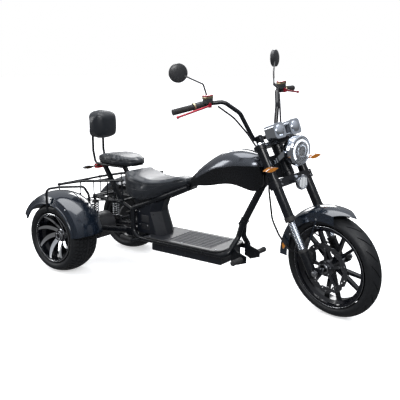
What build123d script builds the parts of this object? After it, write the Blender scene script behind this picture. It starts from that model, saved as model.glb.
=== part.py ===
"""Three-wheeled electric chopper scooter with a passenger seat and a luggage rack.

Millimetres. X points forward, Y to the rider's left, Z up. The origin lies on the
ground, on the centre plane, at mid-length. Every piece is modelled where it sits on
the vehicle. The steering group is modelled straight ahead and is turned about the
steering axis at the end, because the vehicle is parked with its bars turned right.
"""
from build123d import *
import os
from math import cos, radians, sin, sqrt

# ---------------------------------------------------------------- overall sizes
WHEELBASE = 1772.0
REAR_AXLE_X = -900.0
TRACK_HALF = 337.0            # centre plane to the middle of a rear tyre
FENDER_OUT = 121.0            # tyre's middle plane to the mudguard's outer edge
FENDER_IN = 113.0             # and to its inner edge
FENDER_BACK = 8.0             # rear fender's centre behind the axle

# ---------------------------------------------------------------- wheels
REAR_TYRE_R = 238.0
REAR_TYRE_W = 215.0
REAR_BEAD_R = 152.4           # 12 inch rim
REAR_FLANGE_R = REAR_BEAD_R + 13.6
REAR_RIM_HALF = 96.0
REAR_WELL_R = REAR_BEAD_R - 20.4
REAR_BLADES = 8
REAR_HUB_Y = 22.0             # hub face, outboard of the tyre's middle plane
REAR_HUB_R = 40.0
BLADE_ROOT_R = 38.0
BLADE_TIP_R = REAR_BEAD_R - 2
BLADE_T = 11.0

FRONT_TYRE_R = 293.0
FRONT_TYRE_W = 110.0
FRONT_BEAD_R = 215.9          # 17 inch rim
FRONT_FLANGE_R = FRONT_BEAD_R + 13.1
FRONT_RIM_HALF = 46.0
FRONT_WELL_R = FRONT_BEAD_R - 15.9
FRONT_SPOKE_PAIRS = 5
FENDER_CLEAR = 29.0           # front tyre's crown to the edge of the fender's inside
DISC_R = 140.0
DISC_Y = 62.0                 # middle of the brake disc, right of the centre plane
DISC_T = 5.0

RIM_WALL = 6.0
BEAD_GAP = 0.2                # tyre bead to rim seat
AXLE_R = 10.0
AXLE_RUN = 0.05               # running clearance of a hub on its axle

# ---------------------------------------------------------------- steering
RAKE = 27.308                 # steering axis from the vertical, degrees
FORK_X = REAR_AXLE_X + WHEELBASE - 47.6     # a point of the steering axis
FORK_Z = 291.2
STEER_REST = -14.0            # bars turned right as the vehicle is parked
AXLE_LEAD = 43.0              # front axle ahead of the fork tubes
FORK_HALF = 123.0             # centre plane to a fork tube
OUTER_TUBE_R = 27.0
OUTER_TUBE = (278.0, 718.0)   # along the steering axis
INNER_TUBE_R = 15.0
INNER_TUBE_END = 112.0
LEG_R = 25.0
LOWER_CLAMP = (466.0, 510.0)
UPPER_CLAMP = (694.0, 716.0)
CLAMP_PAD = 11.0              # clamp metal round a fork tube
STEM_R = 18.0
STEM_RUN = 0.05
HEAD_TUBE_R = 33.0
HEAD_GAP = 3.0                # clamp to head tube

BAR_R = 12.0
GRIP_R = 16.5
GRIP_LENGTH = 122.0
MIRROR_R = 51.0
HOSE_R = 3.5
LOOM_R = 5.0

# ---------------------------------------------------------------- frame
FLOOR_TOP = 277.0
FLOOR_T = 10.0
RIB_H = 5.0                   # half of it stands above the floor
FLOOR_HALF = 150.0
FLOOR_REAR_X = -352.0
FLOOR_FRONT_X = FORK_X - 599.4
RAIL_R = 16.0                 # floor rails and seat rails
RAIL_Y = 128.0
DOWN_TUBE_R = 21.0
CRADLE_R = 24.0
DOWN_TUBE_TOP = Vector(FORK_X - 350.4, 0, 770)
DOWN_TUBE_FOOT = Vector(FORK_X - 516.4, 0, 455)
RAIL_Z = FLOOR_TOP - FLOOR_T - RAIL_R - 0.2
SEAT_RAIL_REAR = Vector(-452, 107, 447)
SEAT_RAIL_FRONT = Vector(-84, 40, 605)
CRADLE_CORNER_X = FLOOR_FRONT_X + 37
RAIL_JOINT_X = CRADLE_CORNER_X - 162
ARM_Y = 100.0                 # swing-arm tubes and shock absorbers
ARM_R = 20.0
ARM_PIVOT = (-500.0, 280.0)
PIVOT_END = 3.0               # pivot tube beyond the swing-arm tubes
MOTOR_HALF = 66.0
SHOCK_X = -838.0
SEAT_BASE_Z = 699.0           # top of the plate under the passenger seat
PLATE_T = 4.0
HOOP_Z = 686.5                # backrest hoop where it runs under the seat

BATTERY = dict(rear=-327.0, front=FLOOR_FRONT_X - 13, half=104.0, bottom=180.0)

# ---------------------------------------------------------------- finished pieces
NODES = {}


def keep(name, shape):
    """Register a finished piece under the name of its node."""
    NODES[name] = shape


# ---------------------------------------------------------------- helpers
def mirrored(shape):
    """The same piece on the other side of the centre plane."""
    return shape.mirror(Plane.XZ)


def pair(shape):
    """A right-hand piece and its left-hand twin as one compound."""
    return Compound([*solids_of(shape), *solids_of(mirrored(shape))])


def solids_of(shape):
    return list(shape.solids())


def pipe(points, radius, bends=()):
    """A round bar along straight runs joined by tangent arcs."""
    points = [Vector(*p) for p in points]
    if len(points) == 2:
        path = Line(*points)
    else:
        radii = list(bends) if bends else [radius * 3] * (len(points) - 2)
        path = FilletPolyline(*points, radius=radii)
    section = Plane(origin=path @ 0, z_dir=path % 0) * Circle(radius)
    return sweep(section, path=path)


def rod(start, end, radius):
    """A straight round bar between two points."""
    start, end = Vector(*start), Vector(*end)
    return Plane(origin=start, z_dir=end - start) * Cylinder(
        radius, (end - start).length, align=(Align.CENTER, Align.CENTER, Align.MIN))


def square_bar(start, end, side):
    """A straight square bar whose sides face the vehicle's sides."""
    start, end = Vector(*start), Vector(*end)
    frame = Plane(origin=start, x_dir=(0, 1, 0), z_dir=end - start)
    return frame * Box(side, side, (end - start).length,
                       align=(Align.CENTER, Align.CENTER, Align.MIN))


def side_plate(outline, y_low, y_high, corner=0.0):
    """A plate whose outline is drawn in side view, as (x, z) points."""
    sketch = make_face(Polyline(*outline, close=True))
    if corner:
        sketch = fillet(sketch.vertices(), corner)
    return extrude(Plane.XZ * sketch, amount=y_high - y_low, dir=(0, -1, 0)).moved(
        Location((0, y_high, 0)))


def turned_ring(points):
    """A full ring turned about the Y axis from a section of (radius, y) points."""
    return revolve(make_face(Polyline(*points, close=True)), Axis.Y)


def disc(radius, y_low, y_high, hole=0.0):
    """A flat round slice about the Y axis between two y values."""
    ring = Circle(radius) - Circle(hole) if hole else Circle(radius)
    return extrude(Plane.XZ * ring, amount=y_high - y_low, dir=(0, -1, 0)).moved(
        Location((0, y_high, 0)))


# ---------------------------------------------------------------- steering frame
STEER_AXIS = Axis((FORK_X, 0, FORK_Z), (-sin(radians(RAKE)), 0, cos(radians(RAKE))))
FORK = Plane(origin=(FORK_X, 0, FORK_Z),
             x_dir=(cos(radians(RAKE)), 0, sin(radians(RAKE))),
             z_dir=(-sin(radians(RAKE)), 0, cos(radians(RAKE))))


def on_fork(ahead, y, along):
    """A point given in the fork's own frame, as a point of the vehicle."""
    return FORK.from_local_coords(Vector(ahead, y, along))


def axle_along():
    """Where the front axle crosses the fork, so that the turned tyre stands on the ground."""
    turn = radians(STEER_REST)
    crown = FRONT_TYRE_W / 2
    lean = sin(radians(RAKE)) * sin(turn)
    height = (FRONT_TYRE_R - crown) * sqrt(1 - lean * lean) + crown
    rise = AXLE_LEAD * sin(radians(RAKE)) * cos(turn)
    return (height - rise - FORK_Z) / cos(radians(RAKE))


AXLE_ALONG = axle_along()
FRONT_AXLE = on_fork(AXLE_LEAD, 0, AXLE_ALONG)


def turned(shape):
    """Turn a piece of the steering group from straight ahead to its parked angle."""
    return shape.rotate(STEER_AXIS, STEER_REST)


# ---------------------------------------------------------------- wheels
def tyre(radius, width, bead, rim_half, crown_r):
    """A tyre: flat bead, round sidewalls and a crowned tread."""
    half = width / 2
    belly = bead + (radius - bead) * 0.45
    shoulder = (radius - (half - crown_r) * 0.12 - crown_r * 0.35, half - crown_r * 0.3)
    seat = bead + BEAD_GAP
    right = [
        Line((seat, -rim_half + RIM_WALL + 1), (seat + 16, -rim_half + RIM_WALL + 1)),
        ThreePointArc((seat + 16, -rim_half + RIM_WALL + 1), (belly, -half),
                      (shoulder[0], -shoulder[1])),
    ]
    crown = ThreePointArc((shoulder[0], -shoulder[1]), (radius, 0), shoulder)
    left = [edge.mirror(Plane.XZ) for edge in right]
    inside = Line((seat, rim_half - RIM_WALL - 1), (seat, -rim_half + RIM_WALL + 1))
    section = make_face([*right, crown, *left, inside])
    return revolve(section, Axis.Y)


def rim_barrel(bead, flange, well, half):
    """The turned band of a rim: two flanges, bead seats and a drop centre."""
    wall = RIM_WALL
    seat = half - wall
    drop = half * 0.45
    return turned_ring([
        (flange, -half), (flange, -seat), (bead, -seat), (bead, -drop - 14),
        (well, -drop), (well, drop), (bead, drop + 14), (bead, seat),
        (flange, seat), (flange, half), (bead - wall + 2, half),
        (bead - wall, drop + 16), (well - wall, drop + 2), (well - wall, -drop - 2),
        (bead - wall, -drop - 16), (bead - wall + 2, -half)])


def blade_outline():
    """A curved blade of the rear wheel seen from outside, as a flat face."""
    tip_r, sweep_back = BLADE_TIP_R + 2, 30.0
    tip = (tip_r * cos(radians(sweep_back)), tip_r * sin(radians(sweep_back)))
    heel = (tip[0] - 8, tip[1] + 10)
    return make_face([
        ThreePointArc((BLADE_ROOT_R - 6, -15), (102, 14), tip),
        Line(tip, heel),
        ThreePointArc(heel, (88, 34), (BLADE_ROOT_R - 10, 13)),
        Line((BLADE_ROOT_R - 10, 13), (BLADE_ROOT_R - 6, -15))])


def rear_rim():
    """Deep-dish rim: curved blades run down a cone from the outer lip to the hub."""
    barrel = rim_barrel(REAR_BEAD_R, REAR_FLANGE_R, REAR_WELL_R, REAR_RIM_HALF)
    lip_y = -REAR_RIM_HALF + 4
    hub_y = -REAR_HUB_Y
    tip_r = BLADE_TIP_R
    cone = turned_ring([(BLADE_ROOT_R - 2, hub_y), (tip_r, lip_y), (tip_r, lip_y + BLADE_T),
                        (BLADE_ROOT_R - 2, hub_y + BLADE_T)])
    step = 360 / REAR_BLADES
    star = Sketch() + [blade_outline().rotate(Axis.Z, i * step) for i in range(REAR_BLADES)]
    star -= Circle(BLADE_ROOT_R - 1)
    blades = extrude(Plane.XZ * star, amount=REAR_RIM_HALF, both=True) & cone
    hub = disc(REAR_HUB_R, hub_y - 6, 70) + disc(30, hub_y - 26, hub_y - 6)
    web = disc(REAR_WELL_R - 2, 44, 52)
    bore = disc(AXLE_R + AXLE_RUN, hub_y - 20, 90)
    return barrel + blades + hub + web - bore


def front_rim():
    """Cast rim: five forked spokes between a hub and a drop-centre band."""
    barrel = rim_barrel(FRONT_BEAD_R, FRONT_FLANGE_R, FRONT_WELL_R, FRONT_RIM_HALF)
    hub = disc(36, -44, 40)
    spread = 12.0
    reach = FRONT_WELL_R - 2
    arms = []
    for side in (-1, 1):
        end = Vector(reach * cos(radians(spread * side)), reach * sin(radians(spread * side)))
        arm = make_face(Polyline((28, -12), (28, 12), (end.X + 1, end.Y + 7),
                                 (end.X + 1, end.Y - 7), close=True))
        arms.append(extrude(Plane.XZ * arm, amount=13, both=True))
    pair_of_arms = arms[0] + arms[1]
    step = 360 / FRONT_SPOKE_PAIRS
    spokes = [pair_of_arms.rotate(Axis.Y, 18 + i * step) for i in range(FRONT_SPOKE_PAIRS)]
    bore = disc(AXLE_R + AXLE_RUN, -60, 60)
    return barrel + hub + spokes - bore


def front_disc():
    """Waved and drilled brake disc on its carrier, bolted to the hub's right face."""
    low = -DISC_Y - DISC_T / 2
    waves, inner_r, wave = 10, DISC_R - 34, 7.0
    scallops = PolarLocations(DISC_R + 9, waves) * Circle(9 + wave)
    hollows = PolarLocations(inner_r - 5, waves) * Circle(5 + wave)
    outer_row = PolarLocations(DISC_R - 13, waves, start_angle=18) * Circle(4)
    inner_row = PolarLocations(DISC_R - 22, waves, start_angle=8) * Circle(4)
    flat = Circle(DISC_R) - Circle(inner_r) - scallops - hollows - outer_row - inner_row
    spider = Sketch() + [Rot(0, 0, 18 + i * 72) * Pos((inner_r + 44) / 2, 0) * Rectangle(inner_r - 20, 16)
                         for i in range(5)]
    spider = spider + Circle(46) - Circle(AXLE_R + 6)
    plate = extrude(Plane.XZ * (flat + spider), amount=DISC_T, dir=(0, -1, 0)).moved(
        Location((0, low + DISC_T, 0)))
    return plate + disc(44, low, -44, hole=AXLE_R + 6)


def to_front(shape):
    """From the wheel's own centre to the front axle, turned with the steering."""
    return turned(shape.moved(Location(FRONT_AXLE)))


def build_wheels():
    front_tyre = tyre(FRONT_TYRE_R, FRONT_TYRE_W, FRONT_BEAD_R, FRONT_RIM_HALF, 48)
    keep("front_tyre", to_front(front_tyre))
    keep("front_rim", to_front(front_rim()))
    keep("front_disc", to_front(front_disc()))
    right = Location((REAR_AXLE_X, -TRACK_HALF, REAR_TYRE_R))
    rear_tyre = tyre(REAR_TYRE_R, REAR_TYRE_W, REAR_BEAD_R, REAR_RIM_HALF, 44).moved(right)
    rim = rear_rim().moved(right)
    keep("rear_tyre_right", rear_tyre)
    keep("rear_rim_right", rim)
    keep("rear_tyre_left", mirrored(rear_tyre))
    keep("rear_rim_left", mirrored(rim))


# ---------------------------------------------------------------- steering group
def clamp_plate(low, high, front=0.0):
    """A plate across both fork tubes and the stem, bored for the tubes."""
    ear = OUTER_TUBE_R + CLAMP_PAD
    discs = [Pos(0, -FORK_HALF) * Circle(ear), Pos(0, FORK_HALF) * Circle(ear),
             Pos(front, 0) * Circle(STEM_R + CLAMP_PAD)]
    outline = make_hull([edge for circle in discs for edge in circle.edges()])
    for y in (-FORK_HALF, FORK_HALF):
        outline -= Pos(0, y) * Circle(OUTER_TUBE_R + 0.1)
    return FORK * Pos(0, 0, low) * extrude(outline, amount=high - low)


def build_fork():
    lower = clamp_plate(*LOWER_CLAMP)
    upper = clamp_plate(*UPPER_CLAMP)
    stem = FORK * Pos(0, 0, LOWER_CLAMP[0]) * Cylinder(
        STEM_R, UPPER_CLAMP[1] + 12 - LOWER_CLAMP[0], align=(Align.CENTER, Align.CENTER, Align.MIN))
    keep("fork_crown", turned(lower + upper + stem))

    outer = FORK * Pos(0, -FORK_HALF, OUTER_TUBE[0]) * Cylinder(
        OUTER_TUBE_R, OUTER_TUBE[1] - OUTER_TUBE[0], align=(Align.CENTER, Align.CENTER, Align.MIN))
    seal = FORK * Pos(0, -FORK_HALF, OUTER_TUBE[0]) * Cylinder(
        OUTER_TUBE_R + 2.5, 26, align=(Align.CENTER, Align.CENTER, Align.MIN))
    cap = FORK * Pos(0, -FORK_HALF, OUTER_TUBE[1]) * Cylinder(
        OUTER_TUBE_R - 9, 6, align=(Align.CENTER, Align.CENTER, Align.MIN))
    keep("fork_tubes", turned(pair(outer + seal + cap)))

    inner = FORK * Pos(0, -FORK_HALF, INNER_TUBE_END) * Cylinder(
        INNER_TUBE_R, OUTER_TUBE[0] - INNER_TUBE_END, align=(Align.CENTER, Align.CENTER, Align.MIN))
    keep("fork_sliders", turned(pair(inner)))

    foot = -34.0
    leg = FORK * Pos(0, -FORK_HALF, foot) * Cylinder(
        LEG_R, INNER_TUBE_END - foot, align=(Align.CENTER, Align.CENTER, Align.MIN))
    lug = FORK * Pos(AXLE_LEAD / 2, -FORK_HALF, AXLE_ALONG) * Box(AXLE_LEAD + 40, 30, 46)
    lug = fillet(lug.edges().filter_by(Axis.Y), 12)
    bore = Location(FRONT_AXLE) * disc(AXLE_R + 0.1, -200, 200)
    keep("fork_feet", turned(pair(leg + lug - bore)))

    ends = FORK_HALF + 24
    axle = Location(FRONT_AXLE) * (disc(AXLE_R, -ends, ends)
                                   + disc(17, -ends - 12, -ends) + disc(17, ends, ends + 12))
    keep("front_axle", turned(axle))


def build_front_fender():
    """Arched blade over the front tyre, pointed in front, with side stays."""
    inner_r, wall = FRONT_TYRE_R + FENDER_CLEAR, 3.5
    half = 72.0
    skirt_r = FRONT_TYRE_R - 31
    crown = inner_r + 10

    def arch(offset):
        return [(skirt_r, -half + offset), (inner_r - 12, -half + offset),
                (crown - offset, 0), (inner_r - 12, half - offset), (skirt_r, half - offset)]

    out, inn = arch(0), arch(wall)
    section = make_face([
        Line(out[0], out[1]), ThreePointArc(out[1], out[2], out[3]), Line(out[3], out[4]),
        Line(out[4], inn[4]), Line(inn[4], inn[3]), ThreePointArc(inn[3], inn[2], inn[1]),
        Line(inn[1], inn[0]), Line(inn[0], out[0])])
    start, end = 62.0, 178.0
    up = Axis((0, 0, 0), (0, -1, 0))
    shell = revolve(section.rotate(up, start), up, end - start)
    tip_x, wide_x, side = crown * cos(radians(start)) + 1, 58.0, 90.0
    point = make_face(Polyline((wide_x, half), (tip_x, 0), (wide_x, -half), (wide_x, -side),
                               (tip_x + 40, -side), (tip_x + 40, side), (wide_x, side),
                               close=True))
    shell -= extrude(point, amount=400)
    stays = []
    for angle, along in ((100.0, 126.0), (148.0, 100.0)):
        high = Vector(skirt_r + 8, 0).rotate(Axis.Z, angle)
        low = on_fork(0, 0, AXLE_ALONG + along) - FRONT_AXLE
        for side in (-1, 1):
            stays.append(rod((high.X, side * (half - 2), high.Y),
                             (low.X, side * (FORK_HALF - LEG_R - 4.4), low.Z), 4))
    shell = Part() + shell + stays
    keep("front_fender", turned(shell.moved(Location(FRONT_AXLE))))


BAR_POINTS = [
    # from the steering axis' foot, y, z
    (-408.4, -86, 942), (-440.4, -150, 1100), (-496.4, -212, 1168),
    (-553.4, -292, 1165), (-605.4, -480, 1145)]
BAR_POINTS = [Vector(FORK_X + x, y, z) for x, y, z in BAR_POINTS]
BAR_BENDS = (34, 60, 60, 52)


def handlebar_tube(radius):
    """The bent bar: low between its clamps, rising to wide-set grips."""
    left = [Vector(p.X, -p.Y, p.Z) for p in reversed(BAR_POINTS)]
    return pipe([*left, *BAR_POINTS], radius, (*reversed(BAR_BENDS), *BAR_BENDS))


def build_handlebar():
    bar = handlebar_tube(BAR_R)
    blocks = []
    for y in (-60, 60):
        blocks.append(FORK * Pos(-50, y, UPPER_CLAMP[1] + 0.1) * Box(
            38, 26, 62, align=(Align.CENTER, Align.CENTER, Align.MIN)))
    keep("handlebar", turned(bar + blocks))

    a, b = BAR_POINTS[-2:]
    run = (b - a).normalized()
    grip_start = b - run * GRIP_LENGTH
    grip = rod(tuple(grip_start), tuple(b + run * 3), GRIP_R) - rod(
        tuple(grip_start), tuple(b), BAR_R + 0.1)
    keep("grips", turned(pair(grip)))



# ---------------------------------------------------------------- front fittings
def build_lamps():
    """Headlamp bowl, round lower lamp, instrument pods and turn signals."""
    lamp_x, lamp_z, lamp_r, depth = FORK_X - 154.4, 894.0, 80.0, 92.0
    section = make_face([
        Line((0, 0), (lamp_r - 2, 0)), Line((lamp_r - 2, 0), (lamp_r, -6)),
        Line((lamp_r, -6), (lamp_r, -24)),
        ThreePointArc((lamp_r, -24), (lamp_r * 0.72, -depth * 0.78), (22, -depth)),
        Line((22, -depth), (0, -depth)), Line((0, -depth), (0, 0))])
    bowl = Plane(origin=(lamp_x, 0, lamp_z), x_dir=(0, 1, 0), z_dir=(1, 0, 0)) * (
        revolve(Plane.XZ * section, Axis.Z))
    ears = []
    for side in (-1, 1):
        root = on_fork(0, 0, 600)
        middle = side * (FORK_HALF - OUTER_TUBE_R - 3.2)
        ears.append(side_plate([(root.X + 6, root.Z - 16), (root.X + 6, root.Z + 16),
                                (lamp_x - 30, lamp_z + 16), (lamp_x - 30, lamp_z - 16)],
                               middle - 3, middle + 3))
    pin_half = FORK_HALF - OUTER_TUBE_R - 6
    pins = rod((lamp_x - 44, -pin_half, lamp_z), (lamp_x - 44, pin_half, lamp_z), 8)
    keep("headlamp", turned(bowl + pins + ears))

    horn_x, horn_z, horn_r = FORK_X - 140.4, 722.0, 40.0
    horn = rod((horn_x - 26, 0, horn_z), (horn_x, 0, horn_z), horn_r)
    horn = chamfer(horn.edges().filter_by(GeomType.CIRCLE).sort_by(Axis.X)[0], 8)
    clamp_front = OUTER_TUBE_R + CLAMP_PAD + 0.2
    low, high = on_fork(clamp_front, 0, 470), on_fork(clamp_front, 0, 500)
    arm = side_plate([(low.X, low.Z), (high.X, high.Z), (horn_x - 12, horn_z + 16),
                      (horn_x - 12, horn_z - 14)], -12, 12)
    keep("horn_lamp", turned(horn + arm))

    pods = []
    for side in (-1, 1):
        face = FORK * Pos(84, side * 62, 752) * Rot(0, 8, 0)
        pods.append(face * fillet(Box(72, 84, 84).edges().filter_by(Axis.X), 20))
    shelf = FORK * Pos(66, 0, UPPER_CLAMP[1] + 0.1) * Box(
        90, 150, 6, align=(Align.CENTER, Align.CENTER, Align.MIN))
    keep("instrument_pods", turned(pods[0] + pods[1] + shelf))

    signal_x = FORK_X - 206.4
    signal = Location((signal_x, -FORK_HALF - 55, 823)) * leaf_pod(47, 11, 12)
    root = on_fork(OUTER_TUBE_R + 2.4, -FORK_HALF - 3, 575)
    stalk = rod(tuple(root), (signal_x, -FORK_HALF - 19, 823), 6)
    keep("front_signals", turned(pair(signal + stalk)))


def leaf_pod(half_length, half_height, half_depth):
    """A leaf-shaped lamp body, long across the vehicle."""
    leaf = make_face([
        ThreePointArc((-half_length, 0), (0, half_height), (half_length, 0)),
        ThreePointArc((half_length, 0), (0, -half_height), (-half_length, 0))])
    return extrude(Plane(origin=(-half_depth, 0, 0), x_dir=(0, 1, 0), z_dir=(1, 0, 0)) * leaf,
                   amount=2 * half_depth)


def build_controls():
    """Switch housings, master cylinders, levers and mirrors."""
    start, end = BAR_POINTS[-2:]
    run = (end - start).normalized()
    housing = rod(tuple(start + run * 4), tuple(start + run * 66), 20)
    housing -= rod(tuple(start - run * 5), tuple(end), BAR_R + 0.1)
    cup = Location((start.X + 22, start.Y - 2, start.Z + 4)) * Box(
        34, 52, 40, align=(Align.CENTER, Align.CENTER, Align.MIN))
    cup = fillet(cup.edges().filter_by(Axis.Z), 8)
    mirror_foot = (start.X - 13, -267, 1199)
    boss = rod((start.X + 23, -274, 1171), mirror_foot, 9)
    keep("hand_controls", turned(pair(housing + cup + boss - handlebar_tube(BAR_R + 0.1))))

    lever_root = (start.X + 42, start.Y - 8, start.Z - 6)
    lever_tip = (end.X + 39, end.Y - 2, 1122)
    lever = pipe([lever_root, (start.X + 31, -345, 1150), lever_tip], 5.5, (60,))
    knob = Location(lever_root) * Cylinder(10, 19.6)
    keep("brake_levers", turned(pair(lever + knob)))

    head, elbow = Vector(start.X - 95, -384, 1337), Vector(start.X - 23, -280, 1268)
    look = Plane(origin=head, z_dir=Vector(cos(radians(20)), -sin(radians(20)), 0))
    shell = look * Pos(0, 0, -8) * Cylinder(MIRROR_R, 16)
    foot = Vector(*mirror_foot) + (elbow - Vector(*mirror_foot)).normalized() * 6.4
    stem = pipe([tuple(foot), tuple(elbow), tuple(head - look.z_dir * 6)], 4.5, (16,))
    keep("mirrors", turned(pair(shell + stem)))


# each route: from the steering axis' foot, y, z
HOSE_ROUTE = [(-374.4, -112, 920), (-349, -115, 872), (-319, -116, 838), (-281, -114, 755),
              (-302, -96, 670), (-310.4, -80, 585), (-299.4, -84, 500), (-249.4, -88, 420), (-174.4, -92, 352), (-87.9, -74, 338)]
HOSE_BENDS = (30, 30, 90, 60, 120, 120, 90, 90)
LOOM_ROUTE = [(-508.4, -246, 1148), (-452.4, -186, 1080), (-404.4, -134, 985),
              (-366.1, -107, 905)]
LOOM_BENDS = (200, 200)


def build_front_brake():
    """Caliper astride the disc, and the hose and looms that run down the fork."""
    caliper = Location(FRONT_AXLE) * Rot(0, 0, 0) * Pos(-104, -DISC_Y, 42) * Box(62, 40, 66)
    caliper = fillet(caliper.edges().filter_by(Axis.Y), 14)
    slot = Location(FRONT_AXLE) * disc(DISC_R + 3, -DISC_Y - DISC_T, -DISC_Y + DISC_T)
    keep("brake_caliper", turned(caliper - slot))

    hose = pipe([(FORK_X + x, y, z) for x, y, z in HOSE_ROUTE], HOSE_R, HOSE_BENDS)
    loom = pipe([(FORK_X + x, y, z) for x, y, z in LOOM_ROUTE], LOOM_R, LOOM_BENDS)
    keep("control_lines", turned(Compound([*solids_of(hose), *solids_of(pair(loom))])))


# ---------------------------------------------------------------- frame
def cradle_arm(side, radius):
    """One side of the front cradle, from the down tube's foot to a floor rail."""
    foot_x = DOWN_TUBE_FOOT.X
    return pipe([(foot_x - 12, side * 12, 430), (foot_x - 28, side * 30, 345),
                 (CRADLE_CORNER_X, side * RAIL_Y, RAIL_Z), (RAIL_JOINT_X, side * RAIL_Y, RAIL_Z)],
                radius, (60, 46))


def seat_rail_z(x):
    """Height of the seat rails' centre line."""
    rear, front = SEAT_RAIL_REAR, SEAT_RAIL_FRONT
    return rear.Z + (x - rear.X) * (front.Z - rear.Z) / (front.X - rear.X)


def build_frame():
    neck_low, neck_high = LOWER_CLAMP[1] + HEAD_GAP, UPPER_CLAMP[0] - HEAD_GAP
    head = FORK * Pos(0, 0, neck_low) * Cylinder(
        HEAD_TUBE_R, neck_high - neck_low, align=(Align.CENTER, Align.CENTER, Align.MIN))
    bore = FORK * Pos(0, 0, neck_low - 50) * Cylinder(
        STEM_R + STEM_RUN, 400, align=(Align.CENTER, Align.CENTER, Align.MIN))
    gusset = [(-372.4, 736), (-372.4, 836), (-304.4, 860), (-242.4, 742), (-290.4, 728)]
    plate = side_plate([(FORK_X + x, z) for x, z in gusset], -18, 18)
    keep("head_tube", head + plate - bore)

    top, foot = DOWN_TUBE_TOP, DOWN_TUBE_FOOT
    beyond = Pos(FORK_X - 372.6, 0, 700) * Box(200, 200, 400, align=(Align.MIN, Align.CENTER, Align.CENTER))
    keep("down_tube", rod(tuple(top), tuple(foot), DOWN_TUBE_R) - beyond)
    lead = (foot - top).normalized()

    arms = []
    for side in (-1, 1):
        arms.append(cradle_arm(side, RAIL_R))
    sleeve = rod(tuple(foot), tuple(foot + lead * 42), CRADLE_R)
    keep("front_cradle", Part() + sleeve + arms)

    rear, front = SEAT_RAIL_REAR, SEAT_RAIL_FRONT
    slope = (front - rear).normalized()
    rails = []
    for side in (-1, 1):
        corner = rear - slope * 30
        rails.append(pipe([(RAIL_JOINT_X, side * RAIL_Y, RAIL_Z), (-462, side * RAIL_Y, RAIL_Z),
                           (corner.X, side * corner.Y, corner.Z), (rear.X, side * rear.Y, rear.Z)],
                          RAIL_R, (70, 20)))
    cross = [rod((x, -RAIL_Y + RAIL_R - 4, RAIL_Z), (x, RAIL_Y - RAIL_R + 4, RAIL_Z), 11)
             for x in (-345, -420)]
    lug_y = ARM_Y + ARM_R + PIVOT_END + 0.3
    lug = side_plate([(-524, 256), (-524, 304), (-464, 304), (-464, 256)], lug_y, RAIL_Y + 3.3, 10)
    keep("floor_frame", rails[0] + rails[1] + cross + lug + mirrored(lug))

    seat_rails = [pipe([(rear.X, side * rear.Y, rear.Z), (front.X, side * front.Y, front.Z)], RAIL_R)
                  for side in (-1, 1)]
    seat_cross = [rod((x, -half, seat_rail_z(x)), (x, half, seat_rail_z(x)), 9)
                  for x, half in ((-340, 80), (-150, 48))]
    keep("seat_rails", seat_rails[0] + seat_rails[1] + seat_cross)



# ---------------------------------------------------------------- floor and battery
def build_floor():
    length = FLOOR_FRONT_X - FLOOR_REAR_X
    middle = (FLOOR_FRONT_X + FLOOR_REAR_X) / 2
    board = Pos(middle, 0, FLOOR_TOP - FLOOR_T) * Box(
        length, 2 * FLOOR_HALF, FLOOR_T, align=(Align.CENTER, Align.CENTER, Align.MIN))
    front = board.edges().filter_by(Axis.Z).sort_by(Axis.X)[-2:]
    board = fillet(front, 60)
    board = fillet(board.faces().sort_by(Axis.Z)[-1].outer_wire().edges(), 4)
    rib_x = (FLOOR_REAR_X + FLOOR_FRONT_X) / 2 + 42
    for i in range(-4, 5):
        board += Pos(rib_x, i * 28, FLOOR_TOP) * Box(330, 9, RIB_H)
    keep("floorboard", board)

    b = BATTERY
    box = Pos((b["rear"] + b["front"]) / 2, 0, b["bottom"]) * Box(
        b["front"] - b["rear"], 2 * b["half"], FLOOR_TOP - FLOOR_T - b["bottom"] - 0.2,
        align=(Align.CENTER, Align.CENTER, Align.MIN))
    box = fillet(box.edges().filter_by(Axis.Y), 8)
    keep("battery_box", box)


# ---------------------------------------------------------------- tank
TANK_REAR_X = -76.0
TANK_LENGTH = FORK_X - 378.4 - TANK_REAR_X
TANK_SECTIONS = [
    # share of the length, low z, crease z, top z, half width low, half width at the crease
    (0, 594, 636, 664, 26, 40),
    (0.184, 628, 690, 744, 34, 66),
    (0.433, 652, 752, 827, 40, 92),
    (0.701, 656, 784, 861, 44, 104),
    (0.893, 640, 790, 847, 42, 88),
    (1, 690, 786, 832, 34, 46),
]


def tank_x(share):
    return TANK_REAR_X + share * TANK_LENGTH


def tank_section(share, low, crease, top, half_low, half_crease):
    """One closed section of the tank: flat keel, leaning sides, rounded top."""
    plane = Plane(origin=(tank_x(share), 0, 0), x_dir=(0, 1, 0), z_dir=(1, 0, 0))
    shoulder = (half_crease * 0.72, crease + (top - crease) * 0.72)
    right = ThreePointArc((half_crease, crease), shoulder, (0, top))
    left = ThreePointArc((0, top), (-shoulder[0], shoulder[1]), (-half_crease, crease))
    return plane * make_face([
        Line((-half_low, low), (half_low, low)), Line((half_low, low), (half_crease, crease)),
        right, left, Line((-half_crease, crease), (-half_low, low))])


PANEL_T = 4.0


def build_tank():
    core = loft([tank_section(*row) for row in TANK_SECTIONS])
    skin_rows = [(share, low, crease, top + PANEL_T, half_low, half_crease + PANEL_T)
                 for share, low, crease, top, half_low, half_crease in TANK_SECTIONS]
    skin = loft([tank_section(*row) for row in skin_rows])
    crease = [(tank_x(share), z) for share, _, z, _, _, _ in TANK_SECTIONS]
    above = side_plate([*crease, (crease[-1][0], 900), (crease[0][0], 900)], 16, 200)
    trim = Pos(TANK_REAR_X + 46, 0, 700) * Box(40, 400, 400)
    panel = (skin & above) - core - trim
    tunnel = rod(tuple(DOWN_TUBE_TOP), tuple(DOWN_TUBE_FOOT), DOWN_TUBE_R + 0.3)
    keep("tank", core - tunnel)
    keep("tank_panels", pair(panel.solids().sort_by(SortBy.VOLUME)[-1]))


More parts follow.
